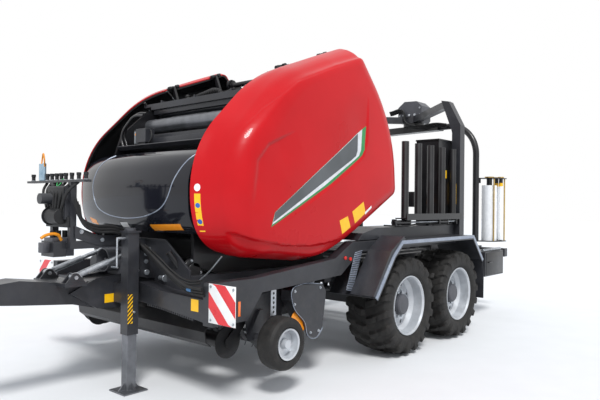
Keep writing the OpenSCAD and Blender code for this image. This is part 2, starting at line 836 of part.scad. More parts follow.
// Boot-shaped covers behind the gauge wheels
module drive_covers() {
    color(anthracite) at_tandem() both_sides() {
        slab(1160, 1185) {
            polygon([
                [1690, 812], [2000, 830], [2095, 795], [2095, 700], [2055, 620], [1930, 500], [1880, 375],
                [1770, 345], [1680, 420], [1635, 740]
            ]);
        }
        slab(side_in_y - 60, 1160)
            strip([[1700, 790], [1990, 805], [2070, 780], [2072, 705], [1950, 530]], 12);
        block(1760, 1860, rail_y + rail_w / 2, side_in_y - 60, 786, 830);
        block(1760, 1860, side_in_y - 60, 1100, 786, 830);
    }
}

module pickup_frame() {
    y0 = pick_half_w;
    plate = 12;
    arm_y = 762;
    color(anthracite) at_tandem() {
        both_sides() {
            slab(y0, y0 + plate)
                polygon([
                    [1940, 695], [1940, 775], [2080, 785], [2330, 760], [2480, 660], [2440, 420], [2330, 315],
                    [2180, 262], [1990, 262], [1990, 330], [2040, 600]
                ]);
            difference() {
                slab(arm_y, arm_y + 16) polygon([
                    [lift_x - 45, lift_z - 20], [lift_x - 30, lift_z + 48], [lift_x + 40, lift_z + 52],
                    [1990, 765], [1990, 705], [lift_x + 20, lift_z - 52]
                ]);
                bar_y(lift_x, lift_z, lift_pin_r + run, arm_y - 1, arm_y + 17);
            }
            slab(y0 + plate, y0 + 40)
                polygon([[2290, 400], [2450, 400], [2450, 450], [2330, 640], [2290, 640]]);
            bar_y(gauge_x, gauge_z, 18, y0 + 40, gauge_y + gauge_w / 2 - 30);
            bar_y(press_pin[0], press_pin[1], press_pin_r, pick_half_w - 40, y0);
            slab(y0 + 40, gauge_y - gauge_w / 2 - 20) translate([gauge_x, gauge_z]) circle(r = 34, $fn = 48);
            bar_y(reel_x, reel_z, reel_pin_r, reel_half + 5 - reel_bore_d, y0);
        }
        block(1950, 2000, -y0, y0, 705, 765);
        block(1995, 2035, -y0, y0, 275, 315);
        for (i = [0:tine_count - 2]) translate([0, tine_line(i + .5), 0]) stripper_band();
    }
}

// One of the bands between the tines: round the reel, and straight back to the two crossbeams
module stripper_band() {
    half = 30;
    t = 5;
    r = 200;
    slab(-half, half) {
        translate([reel_x, reel_z]) difference() {
            circle(r = r, $fn = 96);
            circle(r = r - t, $fn = 96);
            polygon([
                [0, 0], 600 * [cos(105), sin(105)], [-600, 600], [-600, -600], 600 * [cos(245), sin(245)]
            ]);
        }
        strip([[1990, 757], [reel_x, reel_z] + (r - t / 2) * [cos(104), sin(104)]], t);
        strip([[2025, 300], [reel_x, reel_z] + (r - t / 2) * [cos(246), sin(246)]], t);
    }
}

module pickup_reel() {
    half = reel_half;
    bar_pcd = 110;
    color("#77797d") at_tandem() translate([reel_x, 0, reel_z]) {
        difference() {
            bar_y(0, 0, 45, -half, half);
            bar_y(0, 0, reel_pin_r + run, half - reel_bore_d, half + 1);
            bar_y(0, 0, reel_pin_r + run, -half - 1, -half + reel_bore_d);
        }
        for (y = [-half, half - 10]) slab(y, y + 10) difference() {
            circle(r = bar_pcd + 24, $fn = 64);
            circle(r = 44, $fn = 48);
        }
        for (k = [0:tine_bars - 1]) rotate([0, k * 360 / tine_bars, 0]) {
            bar_y(bar_pcd, 0, 14, -half, half);
            for (i = [0:tine_count - 1])
                translate([bar_pcd, tine_line(i), 0])
                    rotate([0, 78, 0]) cylinder(r = 4, h = tine_r - bar_pcd, $fn = 16);
        }
    }
}

// Pivot of the crop press on the pick-up's side plates
press_pin = [2355, 672];
press_pin_r = 15;
press_x = 2610;
press_z = 411;
press_half = 950;

module crop_press() {
    x = press_x;
    z = press_z;
    color(black) at_tandem() {
        bar_y(x, z, 62, -press_half, press_half);
        slab(-press_half, press_half)
            strip([[2700, 668], [2790, 600], [2842, 520], [2830, 440], [2780, 400]], 8);
        for (y = [-700, 0, 700]) slab(y - 5, y + 5)
            polygon([[2790, 600], [2842, 520], [2830, 440], [2780, 400], [x + 30, z + 40], [x + 40, z + 70]]);
    }
}

// An end disc with its hub, and the arm outside it
module crop_press_arms() {
    x = press_x;
    z = press_z;
    arm_y = press_half + 14;
    color(black) at_tandem() both_sides() {
        bar_y(x, z, 132, press_half + seat_gap, press_half + 8);
        bar_y(x, z, 20, press_half + 4, arm_y - seat_gap);
        difference() {
            slab(arm_y, arm_y + 12) {
                polygon([[x - 36, z - 24], [x + 42, z], [x + 10, z + 40], [2390, 690], [2320, 650]]);
                translate([x, z]) circle(r = 42, $fn = 48);
                translate(press_pin) circle(r = 40, $fn = 48);
            }
            bar_y(press_pin[0], press_pin[1], press_pin_r + run, arm_y - 1, arm_y + 13);
        }
    }
}

module gauge_tyre(side) {
    w = gauge_w / 2;
    bead = 118;
    color(rubber) at_tandem() translate([gauge_x, side * gauge_y, gauge_z]) rotate([90, 0, 0])
        rotate_extrude($fn = 64) polygon([
            [bead, -w + 22], [bead + 20, -w + 4], [gauge_r - 50, -w], [gauge_r - 22, -w + 6],
            [gauge_r - 5, -w + 26], [gauge_r, -w + 50], [gauge_r, w - 50], [gauge_r - 5, w - 26],
            [gauge_r - 22, w - 6], [gauge_r - 50, w], [bead + 20, w - 4], [bead, w - 22]
        ]);
}

module gauge_rim(side) {
    w = gauge_w / 2;
    bead = 118;
    pin_end = w - 30;
    color(silver) at_tandem() translate([gauge_x, side * gauge_y, gauge_z]) rotate([side * -90, 0, 0])
        rotate_extrude($fn = 64) polygon([
            [bead - .3, -w + 22], [bead + 6, -w + 8], [bead + 6, -w + 2], [bead - 8, -w + 6],
            [bead - 22, -20], [bead - 22, 8], [45, 14], [45, -40], [18 + run, -40], [18 + run, pin_end + 4],
            [0, pin_end + 4], [0, pin_end + 16], [34, pin_end + 16], [45, 30], [bead - 14, 22],
            [bead - 8, w - 6], [bead + 6, w - 2], [bead + 6, w - 8], [bead - .3, w - 22]
        ]);
}

/* Mudguards, boxes and racks */

module mudguard(side) {
    in_y = 930;
    top_z = side_top_z + guard_t / 2;
    line = [[1260, 660], [960, 1040], [800, top_z], [-820, top_z], [-1090, 870]];
    lip_t = 10;
    lip_y = guard_out_y - lip_t;
    color(anthracite) at_tandem() on_side(side) {
        difference() {
            union() {
                slab(in_y, guard_out_y - lip_t) band(line, -guard_t / 2, guard_t / 2);
                slab(guard_out_y - lip_t, guard_out_y) band(line, -guard_t / 2, 44);
                slab(side_out_y, lip_y) polygon([
                    [1290, 681], [988, 1083], [760, deck_z + 40], [720, deck_z - 4], [932, 1037], [1222, 650]
                ]);
            }
            slab(side_in_y - 3, side_out_y + .5)
                polygon([
                    [1600, 1030], [1250, side_top_z], [740, side_top_z], [740, 900], [1430, 640], [1600, 700]
                ]);
            block(-1021, -800, side_in_y - .5, side_out_y + .5, side_top_z - 101, side_top_z);
        }
        slab(in_y + 40, lip_y) strip([[-1088, 872], [-1125, 640], [-1120, 395]], 6);
    }
}

module side_box(side) {
    color(anthracite) at_tandem() on_side(side)
        slab(860, 1180) polygon([
            [1140, deck_z], [1060, box_top_z - 50], [800, box_top_z], [leg_x + 65, box_top_z],
            [leg_x + 65, deck_z]
        ]);
}

module film_rack(side) {
    y = 1190;
    in_y = leg_in_y;
    edge_y = 1285;
    tray_z = 1372;
    pitch = 280;
    first = 289;
    last = first - (rack_count - 1) * pitch;
    color("#2b2c2f") at_tandem() on_side(side) {
        block(last - 58, first + 110, in_y, edge_y, tray_z, tray_z + 12);
        block(last - 58, first + 110, edge_y - 10, edge_y, tray_z - 12, tray_z + 58);
        for (i = [0:rack_count - 1]) difference() {
            bar_z(first - i * pitch, y, 40, tray_z + 12, 2205);
            bar_z(first - i * pitch, y, 34, tray_z + 30, 2206);
        }
        for (x = [250, -290, last + 20]) block(x - 25, x + 25, in_y, 1175, box_top_z, tray_z);
    }
}

// A chamfered corner leaves room for the film dispensers' circle
module cabinet_plan(rim) {
    rear = leg_x + 15 - rim;
    polygon([
        [rear, 960 + rim], [rear, 1130 + rim], [rim - 580, 1130 + rim], [rim - 580, 830 - rim],
        [-700, 830 - rim]
    ]);
}

module control_cabinet() {
    color(black) at_tandem() translate([0, 0, box_top_z]) {
        linear_extrude(1010) cabinet_plan(0);
        translate([0, 0, 1010]) linear_extrude(20) cabinet_plan(8);
    }
}

/* Wrapper */

module gantry() {
    reach = leg_x - wrap_x;
    out = 1040;
    turn = atan2(out, reach);
    span = norm([out, reach]);
    color(anthracite) at_tandem() {
        both_sides() bulkhead(leg_x - 60, leg_x + 60)
            polygon([
                [leg_out_y, side_top_z], [leg_out_y, 2508], [1092, gantry_z + 77], [990, gantry_z + 97],
                [leg_in_y - 10, 2458], [leg_in_y, 2420], [leg_in_y, side_top_z]
            ]);
        difference() {
            union() {
                for (s = [1, -1]) translate([wrap_x, 0, 0])
                    rotate(s * turn) block(0, span, -45, 45, gantry_z, gantry_z + gantry_h);
                bulkhead(wrap_x - 150, wrap_x + 120) translate([0, gantry_z])
                    polygon([[-195, 40], [-160, 0], [160, 0], [195, 40], [195, gantry_h], [-195, gantry_h]]);
            }
            bar_z(wrap_x, 0, 60 + run, gantry_z - 1, gantry_z + gantry_h + 1);
            both_sides() block(leg_x - 60, leg_x + 300, 1095, 1400, gantry_z - 1, gantry_z + 200);
            block(leg_x + 60, leg_x + 400, -1400, 1400, gantry_z - 1, gantry_z + 200);
        }
    }
}

module wrap_motor() {
    z = gantry_z + gantry_h;
    color("#4a4b4f") at_tandem() difference() {
        bulkhead(wrap_x - 150, wrap_x + 120) translate([0, z])
            polygon([[-195, 0], [195, 0], [195, 150], [110, 225], [-90, 232], [-195, 150]]);
        bar_z(wrap_x, 0, 75, z - 1, z + 90);
    }
}

// The arms stand a little turned from the machine's cross line
arm_turn = -8;

// The arm on the left, or the one half a turn further
module at_arm(side)
    translate([wrap_x, 0, 0]) rotate(arm_turn + (side > 0 ? 0 : 180)) translate([0, arm_r, 0]) children();

module wrap_arms() {
    bend = 420;
    shaft_top = gantry_z + 170;
    color("#2b2c2f") at_tandem() translate([wrap_x, 0, 0]) rotate(arm_turn) {
        bar_z(0, 0, 60, arm_top_z, shaft_top);
        bar_z(0, 0, 150, arm_top_z + 45, gantry_z - 8);
        bar_y(0, arm_top_z, arm_tube_r, -arm_r + bend, arm_r - bend);
        for (a = [0, 180]) rotate(a) {
            translate([0, arm_r - bend, arm_top_z - bend]) rotate([90, 0, 90])
                rotate_extrude(angle = 90, $fn = 64) translate([bend, 0]) circle(r = arm_tube_r, $fn = 32);
            bar_z(0, arm_r, arm_tube_r, film_low_z + plate_t, arm_top_z - bend);
        }
        block(-75, 75, -480, 480, arm_top_z - 45, arm_top_z + 50);
    }
}

// A dispenser stands behind its arm, seen along the arm's turn
film_dx = -190;
film_dy = 90;
plate_t = 12;

module film_dispensers() {
    top_z = film_low_z + plate_t + film_h + 90;
    outer = [[-100, 222], [-270, 250], [-375, 245], [-392, 205], [-382, 75], [-200, -20]];
    color("#3a3b3e") at_tandem() for (side = [1, -1]) at_arm(side) {
        translate([0, 0, film_low_z]) linear_extrude(plate_t) polygon(concat([[50, -46], [50, 48]], outer));
        translate([0, 0, top_z]) linear_extrude(plate_t) polygon(concat([[-62, -34], [-62, 45]], outer));
        bar_z(film_dx, film_dy, film_core_r - 1, film_low_z + plate_t, top_z);
        for (p = [[-340, 110], [-290, 205]]) bar_z(p[0], p[1], 26, film_low_z + plate_t, top_z);
        for (p = [[-366, 215], [-125, 200]]) bar_z(p[0], p[1], 9, film_low_z + plate_t, top_z);
        block(-75, -arm_tube_r - seat_gap, -30, 30, top_z - 60, top_z + plate_t);
    }
}

module film_roll(side) {
    z = film_low_z + plate_t + seat_gap;
    color(white) at_tandem() at_arm(side) translate([film_dx, film_dy, z]) difference() {
        cylinder(r = film_r, h = film_h, $fn = 64);
        translate([0, 0, -1]) cylinder(r = film_core_r, h = film_h + 2, $fn = 48);
    }
}

table_z = 1005;
table_reach = 420;
table_half_w = 575;

module table_frame() {
    y0 = table_half_w + 10;
    color(anthracite) at_tandem() {
        both_sides() {
            slab(y0, y0 + 15) difference() {
                polygon([
                    [wrap_x - 560, rail_top - 40], [wrap_x - 520, table_z + 50], [wrap_x - 340, table_z + 50],
                    [wrap_x - 200, rail_top], [wrap_x + 200, rail_top], [wrap_x + 340, table_z + 50],
                    [wrap_x + 520, table_z + 50], [wrap_x + 560, rail_top - 40]
                ]);
                for (s = [-1, 1])
                    translate([wrap_x + s * table_reach, table_z]) circle(r = 20 + run, $fn = 48);
            }
            block(wrap_x - 560, wrap_x - 440, y0 + 15, rail_y - rail_w / 2, rail_top - 38, rail_top - 8);
            block(wrap_x + 440, wrap_x + 560, y0 + 15, rail_y - rail_w / 2, rail_top - 38, rail_top - 8);
        }
    }
}

module table_roller(end) {
    color("#2f3033") at_tandem() {
        bar_y(wrap_x + end * table_reach, table_z, table_r, -table_half_w, table_half_w);
        bar_y(wrap_x + end * table_reach, table_z, 20, -table_half_w - 25, table_half_w + 25);
    }
}

module transfer_bed() {
    color(anthracite) at_tandem() {
        both_sides() block(-1180, 420, 560, rail_y - rail_w / 2, rail_top - 60, rail_top + 25);
        for (x = [-1100:230:350]) bar_y(x, rail_top + 20, 45, -560, 560);
    }
}

module rear_frame() {
    color(anthracite) at_tandem() {
        block(rear_x, rail_rear_x, -1100, 1100, rail_z, rail_z + 120);
        both_sides() {
            difference() {
                block(-2420, -1800, 900, 1190, 570, 900);
                block(-2421, -2400, 930, 1160, 600, 870);
            }
            block(-2200, -2100, rail_y + rail_w / 2, 900, rail_z + 10, rail_z + 110);
        }
    }
}

module front_boards() {
    color(white) at_tandem() both_sides() {
        block(2992, 2996, 1170, 1455, 650, 936);
        block(2990, 2992, side_in_y + 20, 1300, 680, 900);
    }
}

main_frame();
side_beam(1);  // side_beam_left
side_beam(-1);  // side_beam_right
drawbar();
towing_eye();
drawbar_links();
jack_tube();
jack_crank();
jack_leg();
hose_mast();
gearbox();
chamber_walls();
chamber_rollers();
top_beams();
net_tray();
tandem_axles();
mudguard(1);  // mudguard_left
mudguard(-1);  // mudguard_right
side_box(1);  // side_box_left
side_box(-1);  // side_box_right
film_rack(1);  // film_rack_left
film_rack(-1);  // film_rack_right
control_cabinet();
gantry();
wrap_motor();
transfer_bed();
table_frame();
table_roller(1);  // table_roller_front
table_roller(-1);  // table_roller_rear
rear_frame();
front_boards();
drive_covers();
intake();
hood();
door(1);  // door_left
door(-1);  // door_right
door_lining(1);  // door_lining_left
door_lining(-1);  // door_lining_right
tailgate();
tailgate_rollers();
pickup_frame();
pickup_reel();
crop_press();
crop_press_arms();
gauge_tyre(1);  // gauge_tyre_left
gauge_tyre(-1);  // gauge_tyre_right
gauge_rim(1);  // gauge_rim_left
gauge_rim(-1);  // gauge_rim_right
tyre(axle_x, 1);  // tyre_front_left
tyre(axle_x, -1);  // tyre_front_right
tyre(-axle_x, 1);  // tyre_rear_left
tyre(-axle_x, -1);  // tyre_rear_right
rim(axle_x, 1);  // rim_front_left
rim(axle_x, -1);  // rim_front_right
rim(-axle_x, 1);  // rim_rear_left
rim(-axle_x, -1);  // rim_rear_right
wrap_arms();
film_dispensers();
film_roll(1);  // film_roll_left
film_roll(-1);  // film_roll_right
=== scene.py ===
"""Looks of a trailed round baler with a bale wrapper: finishes, panels, hoses and fittings on its frame."""

import json
import logging
import math
from collections.abc import Sequence
from dataclasses import dataclass, field
from enum import Enum

import bpy
import numpy as np
from mathutils import Matrix, Vector


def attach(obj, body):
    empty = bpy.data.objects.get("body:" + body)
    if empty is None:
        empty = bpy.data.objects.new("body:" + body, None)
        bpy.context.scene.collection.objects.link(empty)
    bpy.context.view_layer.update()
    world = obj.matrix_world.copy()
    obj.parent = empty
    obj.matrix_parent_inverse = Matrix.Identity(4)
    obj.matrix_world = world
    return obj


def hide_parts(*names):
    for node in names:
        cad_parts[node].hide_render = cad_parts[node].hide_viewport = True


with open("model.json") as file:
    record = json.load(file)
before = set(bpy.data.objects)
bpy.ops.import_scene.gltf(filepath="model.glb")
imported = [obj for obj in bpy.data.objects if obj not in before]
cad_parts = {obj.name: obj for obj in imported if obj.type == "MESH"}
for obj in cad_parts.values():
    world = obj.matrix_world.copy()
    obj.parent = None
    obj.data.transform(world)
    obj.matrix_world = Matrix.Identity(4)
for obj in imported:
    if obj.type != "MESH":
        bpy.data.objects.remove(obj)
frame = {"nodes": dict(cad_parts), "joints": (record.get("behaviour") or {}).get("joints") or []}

log = logging.getLogger("round_baler")
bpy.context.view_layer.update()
NODES = frame["nodes"]
AXLES = {joint["name"]: joint["pos_m"] for joint in frame["joints"] if "pos_m" in joint}
TANDEM_X = (AXLES["wheel_front_left_spin"][0] + AXLES["wheel_rear_left_spin"][0]) / 2

Triple = tuple[float, float, float]
Pair = tuple[float, float]
Piece = bpy.types.Object


def at(x: float, y: float, z: float) -> Vector:
    """Turns millimetres from the middle of the tandem into a place in the frame."""
    return Vector((TANDEM_X + x / 1000, y / 1000, z / 1000))


# Finishes


class Grain(Enum):
    """How a surface was made, which sets its pattern and relief."""

    SPRAYED = "sprayed"
    POWDERED = "powdered"
    ROLLED = "rolled"
    GALVANISED = "galvanised"
    CAST = "cast"
    MOULDED = "moulded"
    VULCANISED = "vulcanised"
    WOUND = "wound"
    PRINTED = "printed"


@dataclass(frozen=True)
class Finish:
    """One finish of the machine.

    Attributes:
        name: the material's common name.
        slot: the record's material slot that it belongs to; not used.
        colour: its main colour, sRGB hex.
        shade: the second colour that its cloudiness drifts to.
        grain: how the surface was made.
        metallic: 0 for paint, plastic and rubber, 1 for bare metal.
        roughness: typical roughness of the surface.
        coat: weight of a clear lacquer.
        cloud_mm: size of the slow drift in colour.
        grain_mm: size of the grain.
        relief: strength of the grain's bump.
        dust: field dust gathered towards the ground, 0 to 1.
        mirror: strength of its plain reflection.
    """

    name: str
    slot: str
    colour: str
    shade: str
    grain: Grain
    metallic: float = 0.0
    roughness: float = 0.5
    coat: float = 0.0
    cloud_mm: float = 220.0
    grain_mm: float = 6.0
    relief: float = 0.08
    dust: float = 0.0
    mirror: float = 0.4


# Powder-coated steel: even satin grey with a faint orange peel, dulled by dust low down
ANTHRACITE = Finish(
    "powder_coated_steel", "anthracite_paint", "#26272b", "#313237", Grain.POWDERED, roughness=0.4,
    coat=0.12, cloud_mm=260, grain_mm=5, relief=0.1, dust=0.14
)
DARK_COAT = Finish(
    "satin_black_steel", "black_paint", "#111113", "#1b1b1e", Grain.POWDERED, roughness=0.38, coat=0.15,
    cloud_mm=240, grain_mm=5, relief=0.1, dust=0.1
)
HOUSING = Finish(
    "painted_cast_iron", "cast_housing", "#46474c", "#525359", Grain.CAST, coat=0.1, cloud_mm=160,
    grain_mm=9, relief=0.25, dust=0.1
)
# Two-pack paint on moulded panels: deep colour under a clear lacquer that gives long soft highlights
RED_PANEL = Finish(
    "red_lacquered_panel", "red_panel_paint", "#b50510", "#c00a15", Grain.SPRAYED, roughness=0.32,
    coat=0.22, cloud_mm=700, grain_mm=9, relief=0.015, mirror=0.15
)
HOOD_BLACK = Finish(
    "black_lacquered_hood", "gloss_black_hood", "#121319", "#1a1b22", Grain.SPRAYED, roughness=0.12,
    coat=0.35, cloud_mm=600, grain_mm=9, relief=0.012, mirror=0.25
)
# Moulded polypropylene: black with a fine leathered texture
PLASTIC = Finish(
    "moulded_polypropylene", "black_plastic", "#18191b", "#222326", Grain.MOULDED, roughness=0.52,
    cloud_mm=150, grain_mm=3.5, relief=0.18, dust=0.15
)
HOSE_RUBBER = Finish(
    "braided_hose_rubber", "black_plastic", "#151516", "#242425", Grain.VULCANISED, roughness=0.62,
    cloud_mm=60, grain_mm=4, relief=0.2, dust=0.1
)
# Wheel paint: bright silver with fine flake
RIM_SILVER = Finish(
    "silver_wheel_paint", "silver_paint", "#b4b8bd", "#c6c9cd", Grain.SPRAYED, metallic=0.35,
    roughness=0.34, coat=0.35, cloud_mm=200, grain_mm=3, relief=0.03, dust=0.25
)
# Galvanised and zinc-plated steel: pale blue-grey with soft spangles
ZINC = Finish(
    "zinc_plated_steel", "zinc_steel", "#a5aab0", "#c3c7cc", Grain.GALVANISED, metallic=0.85,
    roughness=0.36, cloud_mm=60, grain_mm=14, relief=0.05
)
EDGE_ZINC = Finish(
    "galvanised_edge_strip", "zinc_steel", "#8a93a3", "#a3abb8", Grain.GALVANISED, metallic=0.5,
    roughness=0.35, cloud_mm=90, grain_mm=14, relief=0.05
)
FORGED = Finish(
    "forged_steel", "forged_steel", "#4d4e52", "#606166", Grain.CAST, metallic=0.6, cloud_mm=70, grain_mm=8,
    relief=0.2, dust=0.2
)
ROLLER = Finish(
    "rolled_roller_steel", "roller_steel", "#6e7074", "#83858a", Grain.ROLLED, metallic=0.8, roughness=0.38,
    cloud_mm=120
)
TYRE = Finish(
    "tyre_rubber", "tyre_rubber", "#151414", "#1f1e1d", Grain.VULCANISED, roughness=0.7, cloud_mm=120,
    grain_mm=7, relief=0.25, dust=0.12
)
BOARD_WHITE = Finish(
    "white_reflective_sheet", "board_white", "#eeeeec", "#e2e3e3", Grain.PRINTED, roughness=0.35, coat=0.3,
    cloud_mm=80, grain_mm=4, relief=0.02
)
BOARD_RED = Finish(
    "red_reflective_sheet", "board_white", "#d5202a", "#e03038", Grain.PRINTED, roughness=0.32, coat=0.3,
    cloud_mm=80, grain_mm=4, relief=0.02
)
FILM = Finish(
    "wound_stretch_film", "wrap_film", "#e9ebee", "#f4f5f6", Grain.WOUND, roughness=0.26, coat=0.25,
    cloud_mm=90, grain_mm=10, relief=0.12
)
# Printed vinyl: flat bright colour, lightly glossy
YELLOW_VINYL = Finish(
    "yellow_vinyl", "board_white", "#f2b705", "#f6c21c", Grain.PRINTED, roughness=0.4, coat=0.2,
    cloud_mm=60, grain_mm=4, relief=0.02
)
ORANGE_VINYL = Finish(
    "orange_vinyl", "board_white", "#ee8d14", "#f29a2a", Grain.PRINTED, roughness=0.4, coat=0.2,
    cloud_mm=60, grain_mm=4, relief=0.02
)
BLUE_VINYL = Finish(
    "blue_vinyl", "board_white", "#1f55a8", "#2a62b6", Grain.PRINTED, roughness=0.4, coat=0.2, cloud_mm=60,
    grain_mm=4, relief=0.02
)
GREEN_VINYL = Finish(
    "green_vinyl", "board_white", "#167a3c", "#1d8a47", Grain.PRINTED, roughness=0.38, coat=0.3,
    cloud_mm=60, grain_mm=4, relief=0.02
)
SILVER_VINYL = Finish(
    "silver_vinyl", "board_white", "#c9ccd0", "#dcdee1", Grain.PRINTED, metallic=0.2, roughness=0.35,
    coat=0.3, cloud_mm=60, grain_mm=4, relief=0.02
)
GREY_VINYL = Finish(
    "grey_vinyl", "board_white", "#3d4144", "#54585b", Grain.PRINTED, roughness=0.4, coat=0.3, cloud_mm=500,
    grain_mm=4, relief=0.02
)
# Anodised aluminium: clean blue-silver, lightly satin
BLUE_ALLOY = Finish(
    "anodised_aluminium", "zinc_steel", "#8fa9bb", "#a9bdca", Grain.ROLLED, metallic=0.7, roughness=0.32,
    cloud_mm=40, grain_mm=5, relief=0.05
)
GOLD_ZINC = Finish(
    "yellow_passivated_steel", "zinc_steel", "#b99a58", "#cbb074", Grain.GALVANISED, metallic=0.7,
    roughness=0.35, cloud_mm=40, grain_mm=8, relief=0.05
)
CARDBOARD = Finish("cardboard_core", "board_white", "#a98a5f", "#b99a6f", Grain.MOULDED)
ORANGE_HOSE = Finish(
    "orange_hose_sleeve", "black_plastic", "#e08a12", "#eb9a26", Grain.MOULDED, roughness=0.45, cloud_mm=60,
    grain_mm=4, relief=0.1
)
GREEN_STRAP = Finish(
    "green_cap_strap", "black_plastic", "#2f9b52", "#43ad64", Grain.MOULDED, cloud_mm=60, grain_mm=4,
    relief=0.1
)
BLUE_SLEEVE = Finish(
    "blue_hose_marker", "black_plastic", "#3d6c99", "#4c7ba8", Grain.MOULDED, cloud_mm=60, grain_mm=4,
    relief=0.1
)
RED_LENS = Finish(
    "red_lamp_lens", "black_plastic", "#c41a12", "#d8281c", Grain.PRINTED, roughness=0.18, coat=0.8,
    cloud_mm=40, grain_mm=4, relief=0.05
)
AMBER_LENS = Finish(
    "amber_lamp_lens", "black_plastic", "#e8641a", "#f0762c", Grain.PRINTED, roughness=0.18, coat=0.8,
    cloud_mm=40, grain_mm=4, relief=0.05
)
WHITE_LENS = Finish(
    "clear_lamp_lens", "board_white", "#dfe3e6", "#f0f2f3", Grain.PRINTED, roughness=0.12, coat=0.8,
    cloud_mm=40, grain_mm=4, relief=0.05
)
GREY_CASE = Finish(
    "grey_control_case", "cast_housing", "#8c9093", "#9ca0a3", Grain.MOULDED, cloud_mm=80, grain_mm=4,
    relief=0.12
)


def linear(colour: str) -> tuple[float, float, float, float]:
    """Turns an sRGB hex colour to linear.

    Args:
        colour: the colour as "#rrggbb".

    Returns:
        Linear red, green, blue and an alpha of 1.
    """
    parts = [int(colour[i:i + 2], 16) / 255 for i in (1, 3, 5)]
    bright = [c / 12.92 if c <= 0.04045 else ((c + 0.055) / 1.055) ** 2.4 for c in parts]
    return bright[0], bright[1], bright[2], 1.0


def add_node(tree: bpy.types.NodeTree, kind: str, settings: dict | None = None,
             **links: object) -> bpy.types.Node:
    """Adds a node with its settings and links.

    Args:
        tree: the material's node tree.
        kind: the node's type.
        settings: attributes and, by the name of an input, its value.
        links: by input name with spaces as underscores, the socket that feeds it.

    Returns:
        The node.
    """
    node = tree.nodes.new(kind)
    for key, value in (settings or {}).items():
        if key in node.inputs:
            node.inputs[key].default_value = value
        else:
            setattr(node, key, value)
    for key, socket in links.items():
        tree.links.new(socket, node.inputs[key.replace("_", " ")])
    return node


_materials: dict[str, bpy.types.Material] = {}

# Sockets of a colour mix
MIX_A, MIX_B, MIX_OUT = 6, 7, 2
# How the cloudy noise drifts the colour and the gloss
CLOUD_DRIFT = (0.35, 0.68)
CLOUD_GLOSS = (0.3, 0.7)
GLOSS_SPREAD = 0.06
LEAST_ROUGHNESS = 0.04
COAT_ROUGHNESS = 0.06
# How much darker and lighter a coarse grain makes the colour
FLECK = (0.78, 1.12)
FLECKED = (Grain.GALVANISED, Grain.CAST, Grain.VULCANISED, Grain.MOULDED)
# Metres above the ground where the dust thins out, and what is left of it there
DUST_HEIGHT = 1.5
DUST_LEFT = 0.06
DUST_PATCHES = (0.42, 0.72)
DUST_COLOUR = "#6c675f"


def material(finish: Finish) -> bpy.types.Material:
    """Builds the material of a finish, once.

    Args:
        finish: the finish.

    Returns:
        Its material.
    """
    if finish.name in _materials:
        return _materials[finish.name]
    made = bpy.data.materials.new(finish.name)
    made.use_nodes = True
    tree = made.node_tree
    tree.nodes.clear()
    place = add_node(tree, "ShaderNodeTexCoord").outputs["Object"]
    cloud = add_node(tree, "ShaderNodeTexNoise", {
        "Scale": 1000 / finish.cloud_mm, "Detail": 4.0, "Roughness": 0.55
    }, Vector=place)
    drift = add_node(tree, "ShaderNodeMapRange", {
        "From Min": CLOUD_DRIFT[0], "From Max": CLOUD_DRIFT[1]
    }, Value=cloud.outputs[0])
    colour = add_node(tree, "ShaderNodeMix", {"data_type": "RGBA"})
    tree.links.new(drift.outputs[0], colour.inputs[0])
    colour.inputs[MIX_A].default_value = linear(finish.colour)
    colour.inputs[MIX_B].default_value = linear(finish.shade)
    tone = colour.outputs[MIX_OUT]
    height = grain_height(tree, finish, place)
    if finish.grain in FLECKED:
        fleck = add_node(tree, "ShaderNodeMix", {"data_type": "RGBA", "blend_type": "MULTIPLY"})
        spread = add_node(tree, "ShaderNodeMapRange", {
            "To Min": FLECK[0], "To Max": FLECK[1]
        }, Value=height)
        fleck.inputs[0].default_value = 1.0
        tree.links.new(tone, fleck.inputs[MIX_A])
        tree.links.new(spread.outputs[0], fleck.inputs[MIX_B])
        tone = fleck.outputs[MIX_OUT]
    if finish.dust:
        tone = dusted(tree, finish, place, tone)
    gloss = add_node(tree, "ShaderNodeMapRange", {
        "From Min": CLOUD_GLOSS[0], "From Max": CLOUD_GLOSS[1],
        "To Min": max(LEAST_ROUGHNESS, finish.roughness - GLOSS_SPREAD),
        "To Max": finish.roughness + GLOSS_SPREAD
    }, Value=cloud.outputs[0])
    bump = add_node(tree, "ShaderNodeBump", {"Strength": finish.relief, "Distance": finish.grain_mm / 4000},
                    Height=height)
    surface = add_node(tree, "ShaderNodeBsdfPrincipled", {
        "Metallic": finish.metallic, "Coat Weight": finish.coat, "Coat Roughness": COAT_ROUGHNESS,
        "Specular IOR Level": finish.mirror
    }, Base_Color=tone, Roughness=gloss.outputs[0], Normal=bump.outputs[0])
    add_node(tree, "ShaderNodeOutputMaterial", Surface=surface.outputs[0])
    _materials[finish.name] = made
    return made


def grain_height(tree: bpy.types.NodeTree, finish: Finish,
                 place: bpy.types.NodeSocket) -> bpy.types.NodeSocket:
    """Makes the height pattern of a finish's grain.

    Args:
        tree: the material's node tree.
        finish: the finish.
        place: the socket of Object coordinates.

    Returns:
        The socket of the height, from 0 to 1.
    """
    scale = 1000 / finish.grain_mm
    if finish.grain is Grain.GALVANISED:
        settings = {"Scale": scale, "Randomness": 1.0}
        return add_node(tree, "ShaderNodeTexVoronoi", settings, Vector=place).outputs[0]
    if finish.grain in (Grain.ROLLED, Grain.WOUND):
        stretch = (1.0, 0.12, 1.0) if finish.grain is Grain.ROLLED else (0.25, 0.25, 3.0)
        drawn = add_node(tree, "ShaderNodeMapping", {"Scale": stretch}, Vector=place)
        settings = {"Scale": scale, "Detail": 3.0}
        return add_node(tree, "ShaderNodeTexNoise", settings, Vector=drawn.outputs[0]).outputs[0]
    detail = 6.0 if finish.grain in (Grain.CAST, Grain.VULCANISED) else 2.0
    return add_node(tree, "ShaderNodeTexNoise", {"Scale": scale, "Detail": detail}, Vector=place).outputs[0]


